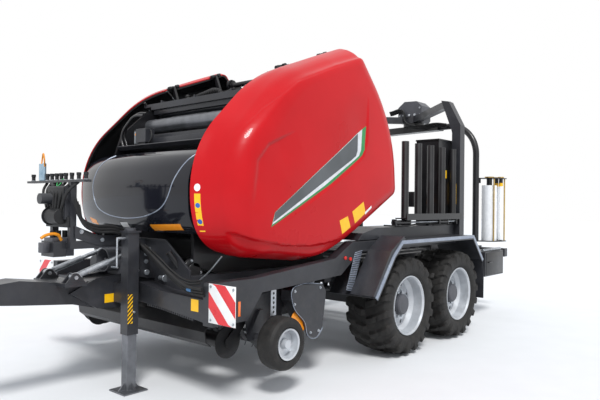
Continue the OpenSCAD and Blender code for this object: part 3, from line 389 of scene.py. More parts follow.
def dusted(tree: bpy.types.NodeTree, finish: Finish, place: bpy.types.NodeSocket,
           tone: bpy.types.NodeSocket) -> bpy.types.NodeSocket:
    """Lays field dust over a colour, more of it towards the ground.

    Args:
        tree: the material's node tree.
        finish: the finish.
        place: the socket of Object coordinates.
        tone: the socket of the clean colour.

    Returns:
        The socket of the dusted colour.
    """
    parts = add_node(tree, "ShaderNodeSeparateXYZ", Vector=place)
    low = add_node(tree, "ShaderNodeMapRange", {
        "From Min": 0.0, "From Max": DUST_HEIGHT, "To Min": finish.dust, "To Max": DUST_LEFT * finish.dust
    }, Value=parts.outputs[2])
    patches = add_node(tree, "ShaderNodeTexNoise", {
        "Scale": 18.0, "Detail": 8.0, "Roughness": 0.65
    }, Vector=place)
    patch = add_node(tree, "ShaderNodeMapRange", {
        "From Min": DUST_PATCHES[0], "From Max": DUST_PATCHES[1]
    }, Value=patches.outputs[0])
    amount = add_node(tree, "ShaderNodeMath", {"operation": "MULTIPLY"})
    tree.links.new(low.outputs[0], amount.inputs[0])
    tree.links.new(patch.outputs[0], amount.inputs[1])
    mix = add_node(tree, "ShaderNodeMix", {"data_type": "RGBA"})
    tree.links.new(amount.outputs[0], mix.inputs[0])
    tree.links.new(tone, mix.inputs[MIX_A])
    mix.inputs[MIX_B].default_value = linear(DUST_COLOUR)
    return mix.outputs[MIX_OUT]


# Workbench


class Plane(Enum):
    """The plane that a flat plate is drawn in."""

    SIDE = "x and z, seen from the left"
    FRONT = "y and z, seen from the front"

    def place(self, u: float, v: float, w: float) -> Vector:
        """Place of a drawn point at the depth w.

        Args:
            u: first drawn coordinate.
            v: second drawn coordinate.
            w: the plane's own coordinate.

        Returns:
            The place in metres.
        """
        if self is Plane.SIDE:
            return at(u, w, v)
        return at(w, u, v)


def start() -> None:
    """Deselects everything, so that an operator acts on the new piece alone."""
    bpy.ops.object.select_all(action="DESELECT")


def named(name: str) -> Piece:
    """Names the piece just added and returns it.

    Args:
        name: the piece's name.

    Returns:
        The piece.
    """
    piece = bpy.context.active_object
    piece.name = name
    piece.data.name = name
    return piece


def pick(piece: Piece) -> None:
    """Selects one piece alone and makes it active.

    Args:
        piece: the piece.
    """
    start()
    piece.select_set(True)
    bpy.context.view_layer.objects.active = piece


def modified(piece: Piece, kind: str, **settings: object) -> Piece:
    """Adds a modifier and applies it.

    Args:
        piece: the piece.
        kind: the modifier's type.
        settings: its settings.

    Returns:
        The piece.
    """
    pick(piece)
    modifier = piece.modifiers.new(kind.title(), kind)
    for key, value in settings.items():
        setattr(modifier, key, value)
    bpy.ops.object.modifier_apply(modifier=modifier.name)
    return piece


def eased(piece: Piece, width: float, segments: int = 2, angle: float = 35) -> Piece:
    """Rounds a piece's sharp edges and smooths its shading.

    Args:
        piece: the piece.
        width: width of the rounding, in millimetres.
        segments: faces across the rounding.
        angle: edges sharper than this are rounded, in degrees.

    Returns:
        The piece.
    """
    if width:
        modified(piece, "BEVEL", width=width / 1000, segments=segments, limit_method="ANGLE",
                 angle_limit=math.radians(angle), use_clamp_overlap=True)
    return smoothed(piece)


def smoothed(piece: Piece, angle: float = 40) -> Piece:
    """Shades a piece smooth, apart from its sharp edges.

    Args:
        piece: the piece.
        angle: edges sharper than this stay sharp, in degrees.

    Returns:
        The piece.
    """
    pick(piece)
    bpy.ops.object.shade_smooth_by_angle(angle=math.radians(angle))
    return piece


def applied(piece: Piece) -> Piece:
    """Puts a piece's place, turn and size into its mesh.

    Args:
        piece: the piece.

    Returns:
        The piece.
    """
    pick(piece)
    bpy.ops.object.transform_apply(location=True, rotation=True, scale=True)
    return piece


def in_edit(piece: Piece, *steps: object) -> Piece:
    """Runs operators on all of a piece in edit mode.

    Args:
        piece: the piece.
        steps: functions that call the operators.

    Returns:
        The piece.
    """
    pick(piece)
    bpy.ops.object.mode_set(mode="EDIT")
    for step in steps:
        bpy.ops.mesh.select_all(action="SELECT")
        step()
    bpy.ops.object.mode_set(mode="OBJECT")
    return piece


def outward() -> None:
    """Merges doubles and turns all faces outwards."""
    bpy.ops.mesh.remove_doubles(threshold=0.00005)
    bpy.ops.mesh.select_all(action="SELECT")
    bpy.ops.mesh.normals_make_consistent(inside=False)


def block(name: str, x: Pair, y: Pair, z: Pair, ease: float = 3) -> Piece:
    """A box with eased edges.

    Args:
        name: the piece's name.
        x: its rear and front.
        y: its right and left.
        z: its bottom and top.
        ease: width of its eased edges.

    Returns:
        The piece.
    """
    low, high = at(min(x), min(y), min(z)), at(max(x), max(y), max(z))
    start()
    bpy.ops.mesh.primitive_cube_add(size=1, location=(low + high) / 2, scale=high - low)
    return eased(applied(named(name)), ease)


def rod(name: str, a: Triple, b: Triple, radius: float, sides: int = 24, tip: float | None = None,
        ease: float = 1.5) -> Piece:
    """A round bar or cone between two points.

    Args:
        name: the piece's name.
        a: its first end.
        b: its second end.
        radius: its radius.
        sides: faces round it.
        tip: its radius at the second end, where that differs.
        ease: width of its eased edges.

    Returns:
        The piece.
    """
    p, q = at(*a), at(*b)
    turn = (q - p).to_track_quat("Z", "Y").to_euler()
    start()
    bpy.ops.mesh.primitive_cone_add(vertices=sides, radius1=radius / 1000,
                                    radius2=(radius if tip is None else tip) / 1000, depth=(q - p).length,
                                    location=(p + q) / 2, rotation=turn)
    return eased(applied(named(name)), ease, 1)


def plate(name: str, plane: Plane, outline: Sequence[Pair], depth: Pair, ease: float = 2) -> Piece:
    """A flat plate cut to an outline.

    Args:
        name: the piece's name.
        plane: the plane that it is drawn in.
        outline: its corners.
        depth: where it starts and ends across the plane.
        ease: width of its eased edges.

    Returns:
        The piece.
    """
    start()
    bpy.ops.mesh.primitive_circle_add(vertices=len(outline), fill_type="NGON", location=(0, 0, 0))
    piece = named(name)
    for vertex, (u, v) in zip(piece.data.vertices, outline):
        vertex.co = plane.place(u, v, depth[0])
    across = plane.place(0, 0, depth[1]) - plane.place(0, 0, depth[0])
    move = {"value": across}
    in_edit(piece, lambda: bpy.ops.mesh.extrude_region_move(TRANSFORM_OT_translate=move), outward)
    return eased(piece, ease)


def hose(name: str, points: Sequence[Triple], radius: float, sides: int = 3) -> Piece:
    """A hose, pipe or cable on a smooth curve.

    Args:
        name: the piece's name.
        points: the points that it passes through.
        radius: its radius.
        sides: roundness of its section.

    Returns:
        The piece.
    """
    start()
    bpy.ops.curve.primitive_bezier_curve_add(location=(0, 0, 0))
    curve = named(name)
    spline = curve.data.splines[0]
    spline.bezier_points.add(len(points) - 2)
    for knot, point in zip(spline.bezier_points, points):
        knot.co = at(*point)
        knot.handle_left_type = knot.handle_right_type = "AUTO"
    curve.data.dimensions = "3D"
    curve.data.bevel_depth = radius / 1000
    curve.data.bevel_resolution = sides
    curve.data.resolution_u = 8
    curve.data.use_fill_caps = True
    bpy.ops.object.convert(target="MESH")
    return smoothed(named(name), 60)


def lathe(name: str, profile: Sequence[Pair], centre: Triple, axis: Triple, steps: int = 48) -> Piece:
    """A turned piece.

    Args:
        name: the piece's name.
        profile: radius and height of its section's corners.
        centre: the foot of its axis.
        axis: the direction of its axis.
        steps: faces round it.

    Returns:
        The piece.
    """
    start()
    bpy.ops.mesh.primitive_circle_add(vertices=len(profile), fill_type="NOTHING", location=(0, 0, 0))
    piece = named(name)
    for vertex, (radius, height) in zip(piece.data.vertices, profile):
        vertex.co = (radius / 1000, 0, height / 1000)
    turned = {"steps": steps, "angle": 2 * math.pi, "center": (0, 0, 0), "axis": (0, 0, 1)}
    in_edit(piece, lambda: bpy.ops.mesh.spin(**turned), outward, bpy.ops.mesh.delete_loose)
    turn = Vector(axis).to_track_quat("Z", "Y").to_matrix().to_4x4()
    piece.data.transform(Matrix.Translation(at(*centre)) @ turn)
    return smoothed(piece, 30)


def joined(name: str, pieces: Sequence[Piece]) -> Piece:
    """Joins pieces to one.

    Args:
        name: the joined piece's name.
        pieces: the pieces.

    Returns:
        The joined piece.
    """
    pick(pieces[0])
    for piece in pieces:
        piece.select_set(True)
    if len(pieces) > 1:
        bpy.ops.object.join()
    return named(name)


def copies(name: str, pattern: Piece, moves: Sequence[Matrix]) -> Piece:
    """Copies a piece to several places as one piece and drops the pattern.

    Args:
        name: the new piece's name.
        pattern: the piece to copy.
        moves: one move for each copy.

    Returns:
        The copies, joined.
    """
    made = []
    for move in moves:
        copy = pattern.copy()
        copy.data = pattern.data.copy()
        copy.data.transform(move)
        if move.determinant() < 0:
            copy.data.flip_normals()
        bpy.context.scene.collection.objects.link(copy)
        made.append(copy)
    bpy.data.objects.remove(pattern)
    return joined(name, made)


def duplicate(piece: Piece) -> Piece:
    """A copy of a piece with its own mesh.

    Args:
        piece: the piece.

    Returns:
        The copy.
    """
    copy = piece.copy()
    copy.data = piece.data.copy()
    bpy.context.scene.collection.objects.link(copy)
    return copy


MIRROR = Matrix.Diagonal((1, -1, 1, 1))


def both_sides(name: str, piece: Piece) -> Piece:
    """A piece and its mirror image on the other side, as one."""
    return copies(name, piece, [Matrix.Identity(4), MIRROR])


def bolts(name: str, places: Sequence[Triple], axis: Triple, across: float = 20) -> Piece:
    """Hexagon bolt heads on washers.

    Args:
        name: the piece's name.
        places: where each bolt meets its plate.
        axis: the way the heads point.
        across: width across the hexagon's corners.

    Returns:
        The bolt heads as one piece.
    """
    washer = rod("washer", (0, 0, 0), (0, 0, across * 0.16), across * 0.72, 16, ease=0)
    head = rod("head", (0, 0, across * 0.16), (0, 0, across * 0.62), across / 2, 6, ease=across * 0.05)
    pattern = joined("bolt", [washer, head])
    pattern.data.transform(Matrix.Translation(-at(0, 0, 0)))
    turn = Vector(axis).to_track_quat("Z", "Y").to_matrix().to_4x4()
    return copies(name, pattern, [Matrix.Translation(at(*place)) @ turn for place in places])


def dress(piece: Piece, finish: Finish, body: str, *replaced: str) -> Piece:
    """Gives a piece its finish and the body that it rides on.

    Args:
        piece: the piece.
        finish: its finish.
        body: the body that carries it.
        replaced: the CAD nodes that it stands for.

    Returns:
        The piece.
    """
    piece.data.materials.clear()
    piece.data.materials.append(material(finish))
    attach(piece, body)
    if replaced:
        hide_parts(*replaced)
    log.info("%s: %s on %s, %d faces", piece.name, finish.name, body, len(piece.data.polygons))
    return piece


def hit(host: Piece, start_point: Vector, direction: Vector) -> Vector:
    """Where a line from a point meets a piece."""
    found, place, _, _ = host.ray_cast(start_point, direction)
    return place if found else start_point


def skin(name: str, host: Piece, plane: Plane, outline: Sequence[Pair], look: Vector, lift: float,
         cuts: int = 5) -> Piece:
    """A thin sheet laid on a curved piece.

    Args:
        name: the sheet's name.
        host: the piece that it lies on.
        plane: the plane that its outline is drawn in.
        outline: its corners.
        look: the way it is pressed on.
        lift: how far it stands off, in millimetres.
        cuts: how finely it follows the curve.

    Returns:
        The sheet.
    """
    start()
    bpy.ops.mesh.primitive_circle_add(vertices=len(outline), fill_type="NGON", location=(0, 0, 0))
    piece = named(name)
    for vertex, (u, v) in zip(piece.data.vertices, outline):
        vertex.co = plane.place(u, v, 0)
    in_edit(piece, bpy.ops.mesh.quads_convert_to_tris, lambda: bpy.ops.mesh.subdivide(number_cuts=cuts),
            bpy.ops.mesh.beautify_fill)
    for vertex in piece.data.vertices:
        vertex.co = hit(host, vertex.co - look * 4, look) - look * lift / 1000
    in_edit(piece, lambda: bpy.ops.mesh.normals_make_consistent(inside=False))
    if piece.data.polygons[0].normal.dot(look) > 0:
        piece.data.flip_normals()
    return smoothed(modified(piece, "SOLIDIFY", thickness=0.0006, offset=-1), 60)


# Curves of the panels


def rounded(corners: Sequence[Triple], steps: int = 16) -> np.ndarray:
    """A closed outline with rounded corners.

    Args:
        corners: x, z and radius of each corner.
        steps: points along each rounding.

    Returns:
        The outline's points.
    """
    points = []
    for i, (x, z, radius) in enumerate(corners):
        here = np.array((x, z))
        v = np.array(corners[i - 1][:2]) - here
        w = np.array(corners[(i + 1) % len(corners)][:2]) - here
        v, w = v / np.linalg.norm(v), w / np.linalg.norm(w)
        half = math.acos(float(v @ w)) / 2
        middle = here + (v + w) / np.linalg.norm(v + w) * radius / math.sin(half)
        first = here + v * radius / math.tan(half) - middle
        last = here + w * radius / math.tan(half) - middle
        a0 = math.atan2(first[1], first[0])
        turn = (math.atan2(last[1], last[0]) - a0 + 3 * math.pi) % (2 * math.pi) - math.pi
        for k in range(steps + 1):
            a = a0 + turn * k / steps
            points.append(middle + radius * np.array((math.cos(a), math.sin(a))))
    return np.array(points)


def spaced(points: np.ndarray, count: int) -> np.ndarray:
    """Evenly spaced points on a closed line, the last one the same as the first.

    Args:
        points: the line's points.
        count: how many steps.

    Returns:
        count + 1 points.
    """
    ring = np.vstack([points, points[:1]])
    run = np.concatenate([[0], np.cumsum(np.linalg.norm(np.diff(ring, axis=0), axis=1))])
    wanted = np.linspace(0, run[-1], count + 1)
    return np.stack([np.interp(wanted, run, ring[:, i]) for i in (0, 1)], axis=1)


def through(knots: Sequence[float], values: Sequence[float], wanted: np.ndarray) -> np.ndarray:
    """A smooth curve through values that never swings past them.

    Args:
        knots: where the values are given.
        values: the values.
        wanted: where the curve is read.

    Returns:
        The curve's values.
    """
    x, y = np.array(knots, float), np.array(values, float)
    h, d = np.diff(x), np.diff(y) / np.diff(x)
    m = np.zeros(len(x))
    for i in range(1, len(x) - 1):
        if d[i - 1] * d[i] > 0:
            w1, w2 = 2 * h[i] + h[i - 1], h[i] + 2 * h[i - 1]
            m[i] = (w1 + w2) / (w1 / d[i - 1] + w2 / d[i])
    m[0], m[-1] = d[0], d[-1]
    k = np.clip(np.searchsorted(x, wanted, side="right") - 1, 0, len(x) - 2)
    t = (wanted - x[k]) / h[k]
    return ((2 * t**3 - 3 * t**2 + 1) * y[k] + (t**3 - 2 * t**2 + t) * h[k] * m[k]
            + (3 * t**2 - 2 * t**3) * y[k + 1] + (t**3 - t**2) * h[k] * m[k + 1])


def from_line(x: np.ndarray, z: np.ndarray, line: Sequence[Pair]) -> tuple[np.ndarray, np.ndarray]:
    """Signed distance from a line, and how far along it the nearest point lies.

    Args:
        x: first coordinates of the points.
        z: second coordinates of the points.
        line: the line's corners.

    Returns:
        The distance, positive to the left of the line's run, and the share of its length from 0 to 1.
    """
    corners = np.array(line, float)
    lengths = np.linalg.norm(np.diff(corners, axis=0), axis=1)
    best = np.full(x.shape, 1e9)
    side = np.zeros(x.shape)
    share = np.zeros(x.shape)
    done = 0.0
    for a, b, length in zip(corners[:-1], corners[1:], lengths):
        ux, uz = (b - a) / length
        along = np.clip((x - a[0]) * ux + (z - a[1]) * uz, 0, length)
        dx, dz = x - a[0] - along * ux, z - a[1] - along * uz
        gap = np.hypot(dx, dz)
        nearer = gap < best
        best = np.where(nearer, gap, best)
        side = np.where(nearer, np.sign(ux * (z - a[1]) - uz * (x - a[0])), side)
        share = np.where(nearer, (done + along) / lengths.sum(), share)
        done += length
    return best * side, share


def ramp(values: np.ndarray, low: float, high: float) -> np.ndarray:
    """A soft step from 0 at low to 1 at high."""
    t = np.clip((values - low) / (high - low), 0, 1)
    return t * t * (3 - 2 * t)


def sheet_of(name: str, places: np.ndarray) -> Piece:
    """A grid of faces bent to a surface.

    Args:
        name: the piece's name.
        places: its points as rows and columns, in metres.

    Returns:
        The piece, with its seams merged.
    """
    rows, columns = places.shape[:2]
    start()
    bpy.ops.mesh.primitive_grid_add(
        x_subdivisions=columns - 1, y_subdivisions=rows - 1, size=1, location=(0, 0, 0)
    )
    piece = named(name)
    flat = np.zeros(rows * columns * 3, np.float32)
    piece.data.vertices.foreach_get("co", flat)
    flat = flat.reshape(-1, 3)
    i = np.rint((flat[:, 1] + 0.5) * (rows - 1)).astype(int)
    j = np.rint((flat[:, 0] + 0.5) * (columns - 1)).astype(int)
    piece.data.vertices.foreach_set("co", places[i, j].astype(np.float32).ravel())
    piece.data.update()
    in_edit(piece, outward)
    return piece


def area(corners: Sequence[Pair]) -> float:
    """Signed area inside an outline."""
    pairs = zip(corners, [*corners[1:], corners[0]])
    return sum(a[0] * b[1] - b[0] * a[1] for a, b in pairs) / 2


def band(line: Sequence[Pair], near: float, far: float) -> list[Pair]:
    """Outline of a bent strip seen edge on.

    Args:
        line: the line that it follows.
        near: its first offset to the left of the line's run.
        far: its second offset.

    Returns:
        The outline's corners.
    """
    points = np.array(line, float)
    runs = np.diff(points, axis=0)
    runs /= np.linalg.norm(runs, axis=1, keepdims=True)
    before = np.vstack([runs[:1], runs])
    after = np.vstack([runs, runs[-1:]])
    left = np.stack([-after[:, 1], after[:, 0]], axis=1)
    mitre = left + np.stack([-before[:, 1], before[:, 0]], axis=1)
    mitre /= np.linalg.norm(mitre, axis=1, keepdims=True)
    mitre /= np.sum(mitre * left, axis=1, keepdims=True)
    return [tuple(p) for p in points + mitre * near] + [tuple(p) for p in (points + mitre * far)[::-1]]


# Fittings


@dataclass(frozen=True)
class Fitting:
    """Like parts from a table, joined and dressed as one piece.

    Attributes:
        name: the piece's name.
        finish: its finish.
        rows: the table, in millimetres from the tandem.
        both: whether the other side has them too.
        body: the body that carries it.
        replaced: the CAD nodes that it stands for.
    """

    name: str
    finish: Finish
    rows: tuple
    both: bool = False
    body: str = "chassis"
    replaced: tuple[str, ...] = ()

    def shape(self) -> Piece:
        """Makes the parts on the left side, which each kind of fitting does in its own way."""
        raise NotImplementedError

    def build(self) -> Piece:
        """Makes the piece and dresses it.

        Returns:
            The piece.
        """
        piece = self.shape()
        if self.both:
            piece = both_sides(self.name, piece)
        return dress(piece, self.finish, self.body, *self.replaced)


@dataclass(frozen=True)
class Bars(Fitting):
    """Round bars. A row holds both ends and the radius."""

    sides: int = 20

    def shape(self) -> Piece:
        """Makes the bars."""
        return joined(self.name, [rod("bar", *row, self.sides) for row in self.rows])


@dataclass(frozen=True)
class Boxes(Fitting):
    """Eased boxes. A row holds the extents along x, y and z."""

    ease: float = 2

    def shape(self) -> Piece:
        """Makes the boxes."""
        return joined(self.name, [block("box", *row, self.ease) for row in self.rows])


@dataclass(frozen=True)
class Hoses(Fitting):
    """Held hoses, pipes and cables. A row holds the points and the radius."""

    def shape(self) -> Piece:
        """Makes the hoses."""
        return joined(self.name, [hose("run", *row) for row in self.rows])


@dataclass(frozen=True)
class Bolts(Fitting):
    """Hexagon bolt heads. A row is the place where a bolt meets its plate."""

    axis: Triple = (0, 1, 0)
    across: float = 20

    def shape(self) -> Piece:
        """Makes the bolt heads."""
        return bolts(self.name, self.rows, self.axis, self.across)


@dataclass(frozen=True)
class Plates(Fitting):
    """Flat plates. A row holds the outline and the depths of both faces."""

    plane: Plane = Plane.SIDE
    ease: float = 2

    def shape(self) -> Piece:
        """Makes the plates."""
        return joined(self.name, [plate("plate", self.plane, *row, self.ease) for row in self.rows])


@dataclass(frozen=True)
class Stripes(Fitting):
    """Diagonal stripes that fall to the right of the drawing. A row holds a board's extents in its plane.

    Attributes:
        plane: the plane of the board.
        depth: where the board's face lies.
        pitch: from one stripe to the next.
        phase: where the first stripe starts, as a share of the pitch.
        thickness: thickness of the sheet.
        steps: points along a stripe's edge.
        least: height and area under which a stripe is left out at a corner.
    """

    plane: Plane = Plane.SIDE
    depth: float = 0
    pitch: float = 100
    phase: float = 0.25
    thickness: float = 0.5
    steps: int = 9
    least: Pair = (4, 60)

    def shape(self) -> Piece:
        """Makes the stripes, each cut off at the board's edges.

        Returns:
            The stripes as one piece.
        """
        parts = []
        for (u0, u1), (v0, v1) in self.rows:
            for k in range(-int((u1 - u0) / self.pitch) - 2, int((v1 - v0) / self.pitch) + 2):
                base = v0 + (k + self.phase) * self.pitch
                corners = []
                for edge, run in ((base, (u0, u1)), (base + self.pitch / 2, (u1, u0))):
                    for u in np.linspace(*run, self.steps):
                        corners.append((float(u), float(np.clip(edge + (u1 - u), v0, v1))))
                heights = [v for _, v in corners]
                trimmed = [c for i, c in enumerate(corners) if math.dist(c, corners[i - 1]) > 0.5]
                if max(heights) - min(heights) > self.least[0] and abs(area(trimmed)) > self.least[1]:
                    depths = (self.depth, self.depth + self.thickness)
                    parts.append(plate("stripe", self.plane, trimmed, depths, 0))
        return joined(self.name, parts)


# Sub-assemblies


@dataclass
class CadFinishes:
    """Finishes and eased edges of the CAD nodes that stay as they are."""

    soft_edge: float = 3.0
    by_finish: dict[Finish, tuple[str, ...]] = field(default_factory=lambda: {
        ANTHRACITE: (
            "main_frame", "side_beam_left", "side_beam_right", "drawbar", "jack_tube", "top_beams",
            "net_tray", "tandem_axles", "mudguard_left", "mudguard_right", "side_box_left",
            "side_box_right", "gantry", "table_frame", "rear_frame", "drive_covers", "pickup_frame",
            "hose_mast", "transfer_bed"
        ),
        DARK_COAT: (
            "chamber_walls", "film_rack_left", "film_rack_right", "control_cabinet", "wrap_arms", "intake",
            "crop_press", "crop_press_arms", "film_dispensers", "tailgate", "table_roller_front",
            "table_roller_rear"
        ),
        HOUSING: ("gearbox", "wrap_motor"),
        FORGED: ("towing_eye",),
        ZINC: ("drawbar_links", "jack_crank"),
        ROLLER: ("chamber_rollers", "tailgate_rollers", "pickup_reel", "jack_leg"),
        RIM_SILVER: (
            "rim_front_left", "rim_front_right", "rim_rear_left", "rim_rear_right", "gauge_rim_left",
            "gauge_rim_right"
        ),
        TYRE: (
            "tyre_front_left", "tyre_front_right", "tyre_rear_left", "tyre_rear_right", "gauge_tyre_left",
            "gauge_tyre_right"
        ),
        BOARD_WHITE: ("front_boards",),
        FILM: ("film_roll_left", "film_roll_right"),
        RED_PANEL: ("door_left", "door_right"),
        PLASTIC: ("door_lining_left", "door_lining_right"),
        HOOD_BLACK: ("hood",),
    })
    eased_nodes: tuple[str, ...] = (
        "main_frame", "side_beam_left", "side_beam_right", "drawbar", "jack_tube", "top_beams", "net_tray",
        "mudguard_left", "mudguard_right", "side_box_left", "side_box_right", "gantry", "table_frame",
        "rear_frame", "drive_covers", "hose_mast", "transfer_bed", "chamber_walls", "control_cabinet",
        "wrap_motor", "gearbox", "film_dispensers", "crop_press", "crop_press_arms", "tailgate",
        "film_rack_left", "film_rack_right", "jack_leg"
    )

    def build(self) -> None:
        """Dresses every CAD node and eases the edges of the boxy ones."""
        for finish, names in self.by_finish.items():
            for name in names:
                node = NODES[name]
                for slot in node.material_slots:
                    slot.material = material(finish)
                if not node.material_slots:
                    node.data.materials.append(material(finish))
        for name in self.eased_nodes:
            node = NODES[name]
            weld = node.modifiers.new("Weld", "WELD")
            weld.merge_threshold = 0.0001
            bevel = node.modifiers.new("Bevel", "BEVEL")
            bevel.width = self.soft_edge / 1000
            bevel.segments = 2
            bevel.limit_method = "ANGLE"
            bevel.angle_limit = math.radians(40)
            bevel.use_clamp_overlap = True
        dressed = sum(len(names) for names in self.by_finish.values())
        log.info("%d nodes dressed, %d eased", dressed, len(self.eased_nodes))


@dataclass(frozen=True)
class Press:
    """A line pressed into a door, beside which the skin falls back.

    Attributes:
        line: the line, as x and z.
        shares: places along it, as shares of its length.
        depths: how deep the skin falls there.
        side: 1 where it falls to the left of the line's run, -1 to the right.
        step: where the fall starts and is whole, across the line.
        back: where the skin starts to come back and is back, across the line.
    """

    line: tuple[Pair, ...]
    shares: tuple[float, ...]
    depths: tuple[float, ...]
    side: int
    step: Pair
    back: Pair

    def depth(self, x: np.ndarray, z: np.ndarray) -> np.ndarray:
        """How deep the skin falls at points.

        Args:
            x: forward places of the points.
            z: heights of the points.

        Returns:
            The depths.
        """
        gap, share = from_line(x, z, self.line)
        gap = gap * self.side
        whole = np.interp(share, self.shares, self.depths)
        return whole * ramp(gap, *self.step) * (1 - ramp(gap, *self.back))


@dataclass
class SideDoors:
    """The two large bulged side doors: red shells, black linings, printed wedges and blank stickers."""

    edge: tuple[Triple, ...] = (
        (1079, 3068, 70), (2233, 2630, 1400), (2997, 1864, 840), (2803, 1134, 370), (1635, 1024, 1200),
        (411, 1642, 75), (472, 2393, 1650)
    )
    middle: Pair = (1500, 2050)
    inner_y: float = 820
    depth: float = 385
    skin_t: float = 12
    lining_t: float = 18
    gap: float = 0.5
    # Rings from the inner edge to the middle of the face: depth, then the stretch forward, back, up, down
    rings: tuple[tuple[float, ...], ...] = (
        (0, 1, 1, 1, 1), (0.20, 0.956, 0.996, 1.023, 1.026), (0.42, 0.921, 0.993, 1.003, 1.035),
        (0.64, 0.893, 0.99, 0.96, 1.02), (0.82, 0.85, 0.98, 0.905, 1.003), (0.94, 0.79, 0.94, 0.88, 0.96),
        (1, 0.66, 0.84, 0.785, 0.85), (1.022, 0, 0, 0, 0)
    )
    presses: tuple[Press, ...] = (
        Press((
            (1203, 2889), (1621, 2734), (2033, 2558), (2397, 2293), (2564, 2142), (2722, 1965), (2833, 1765),
            (2839, 1619), (2814, 1508), (2758, 1315), (2680, 1285), (2549, 1240), (2200, 1177), (1870, 1161),
            (1459, 1198), (1180, 1280)
        ), (0, 0.12, 0.45, 0.56, 0.64, 0.9, 1), (0, 7, 11, 18, 26, 20, 0), 1, (-2, 16), (40, 190)),
        Press((
            (2084, 2144), (2251, 2072), (2410, 2003), (2526, 1863), (2556, 1627), (2586, 1451)
        ), (0, 0.25, 0.75, 1), (0, 17, 17, 0), -1, (-6, 14), (60, 420)),
        Press((
            (1021, 2592), (1028, 2312), (1038, 2134), (1099, 1984), (1377, 1797), (1876, 1540), (2300, 1330)
        ), (0, 0.15, 0.7, 1), (0, 13, 10.4, 0), 1, (-4, 12), (60, 420)),
    )
    # Share of the door's depth where the pressed lines start and are whole
    press_from: Pair = (0.5, 0.8)
    # Steps round the door and from its edge to its middle
    shell_grid: tuple[int, int] = (480, 126)
    lining_grid: tuple[int, int] = (320, 60)
    wedge_edge: tuple[Pair, ...] = (
        (2381, 1332), (2339, 1450), (1191, 2207), (1046, 2288), (1075, 2058), (1110, 2000), (1187, 1949),
        (1603, 1705)
    )
    wedge_line: tuple[Pair, ...] = (
        (2371, 1350), (2339, 1449), (1191, 2206), (1115, 2250), (1132, 2050), (1165, 1990), (1235, 1946),
        (1700, 1682)
    )
    wedge: tuple[Pair, ...] = (
        (2361, 1371), (2339, 1448), (1191, 2200), (1193, 2035), (1215, 1985), (1284, 1943), (1816, 1659)
    )
    stickers: tuple[tuple[Pair, ...], ...] = (
        ((1474, 1371), (1347, 1411), (1297, 1305), (1426, 1245)),
        ((1276, 1453), (1092, 1548), (1051, 1438), (1225, 1339)),
    )
    label: tuple[Pair, ...] = ((1064, 1446), (954, 1512), (946, 1490), (1052, 1424))
    strip: tuple[Pair, Pair] = ((846, 884), (1292, 1592))
    # Name, finish, y and z of the middle, and half the width and height of each oval on the flange
    ovals: tuple[tuple, ...] = (
        ("edge_oval_left", BOARD_WHITE, 864, 1640, 19, 30),
        ("edge_dot_left_1", BLUE_VINYL, 865, 1500, 15, 20),
        ("edge_dot_left_2", BLUE_VINYL, 865, 1372, 15, 20)
    )
    vinyl: float = 0.9
    print_cuts: int = 9
    edge_cuts: int = 4
    oval_steps: int = 17
    hinge_x: Pair = (1250, 1850)
    # How far the knuckles lie inside the door's edge and above its upper line, and from each hinge's middle
    knuckle_in: float = 22
    knuckle_up: float = 5
    knuckle_ends: Pair = (-50, 50)
    knuckle_r: float = 20
    leaf_reach: Pair = (-16, 6)
    leaf_depth: float = 40

    def surface(self, inset: float, columns: int, rows: int, relief: bool, lip: float) -> np.ndarray:
        """Points of a door's surface, set in from the outer one.

        Args:
            inset: how far inside the outer surface.
            columns: steps round the door.
            rows: steps from the edge to the middle.
            relief: whether the pressed lines are drawn.
            lip: how far the edge turns inwards first.

        Returns:
            Rows and columns of points, in metres.
        """
        line = spaced(rounded(self.edge), columns) - np.array(self.middle)
        reach = np.linalg.norm(line, axis=1)
        table = np.array(self.rings)
        run = np.concatenate([[0], np.cumsum(np.hypot(np.diff(table[:, 0]) * self.depth,
                                                      np.diff(table[:, 1:].mean(axis=1)) * 1000))])
        outer, end = run[-2:]
        steps = np.concatenate([[0.0], outer * np.linspace(0, 1, rows // 3, endpoint=False),
                                np.linspace(outer, end, rows - rows // 3)])
        insets = np.full(len(steps), inset)
        insets[0] += lip
        depth, ahead, behind, up, down = (through(run, column, steps) for column in table.T)
        wide = np.where(line[None, :, 0] > 0, ahead[:, None], behind[:, None])
        tall = np.where(line[None, :, 1] > 0, up[:, None], down[:, None])
        less = 1 - insets[:, None] / reach[None, :]
        x = self.middle[0] + line[None, :, 0] * wide * less
        z = self.middle[1] + line[None, :, 1] * tall * less
        y = np.repeat((self.inner_y + depth * (self.depth - insets))[:, None], columns + 1, axis=1)
        points = np.stack([x, y, z], axis=2)
        if relief:
            across = np.gradient(points, axis=0)
            round_it = np.gradient(points, axis=1)
            normal = np.cross(round_it, across)
            normal /= np.linalg.norm(normal, axis=2, keepdims=True) + 1e-9
            normal *= np.where(normal[:, :, 1:2] < 0, -1, 1)
            fall = sum(press.depth(x, z) for press in self.presses)
            points = points - normal * (fall * ramp(depth, *self.press_from)[:, None])[:, :, None]
        points[:, :, 0] += TANDEM_X * 1000
        return points / 1000

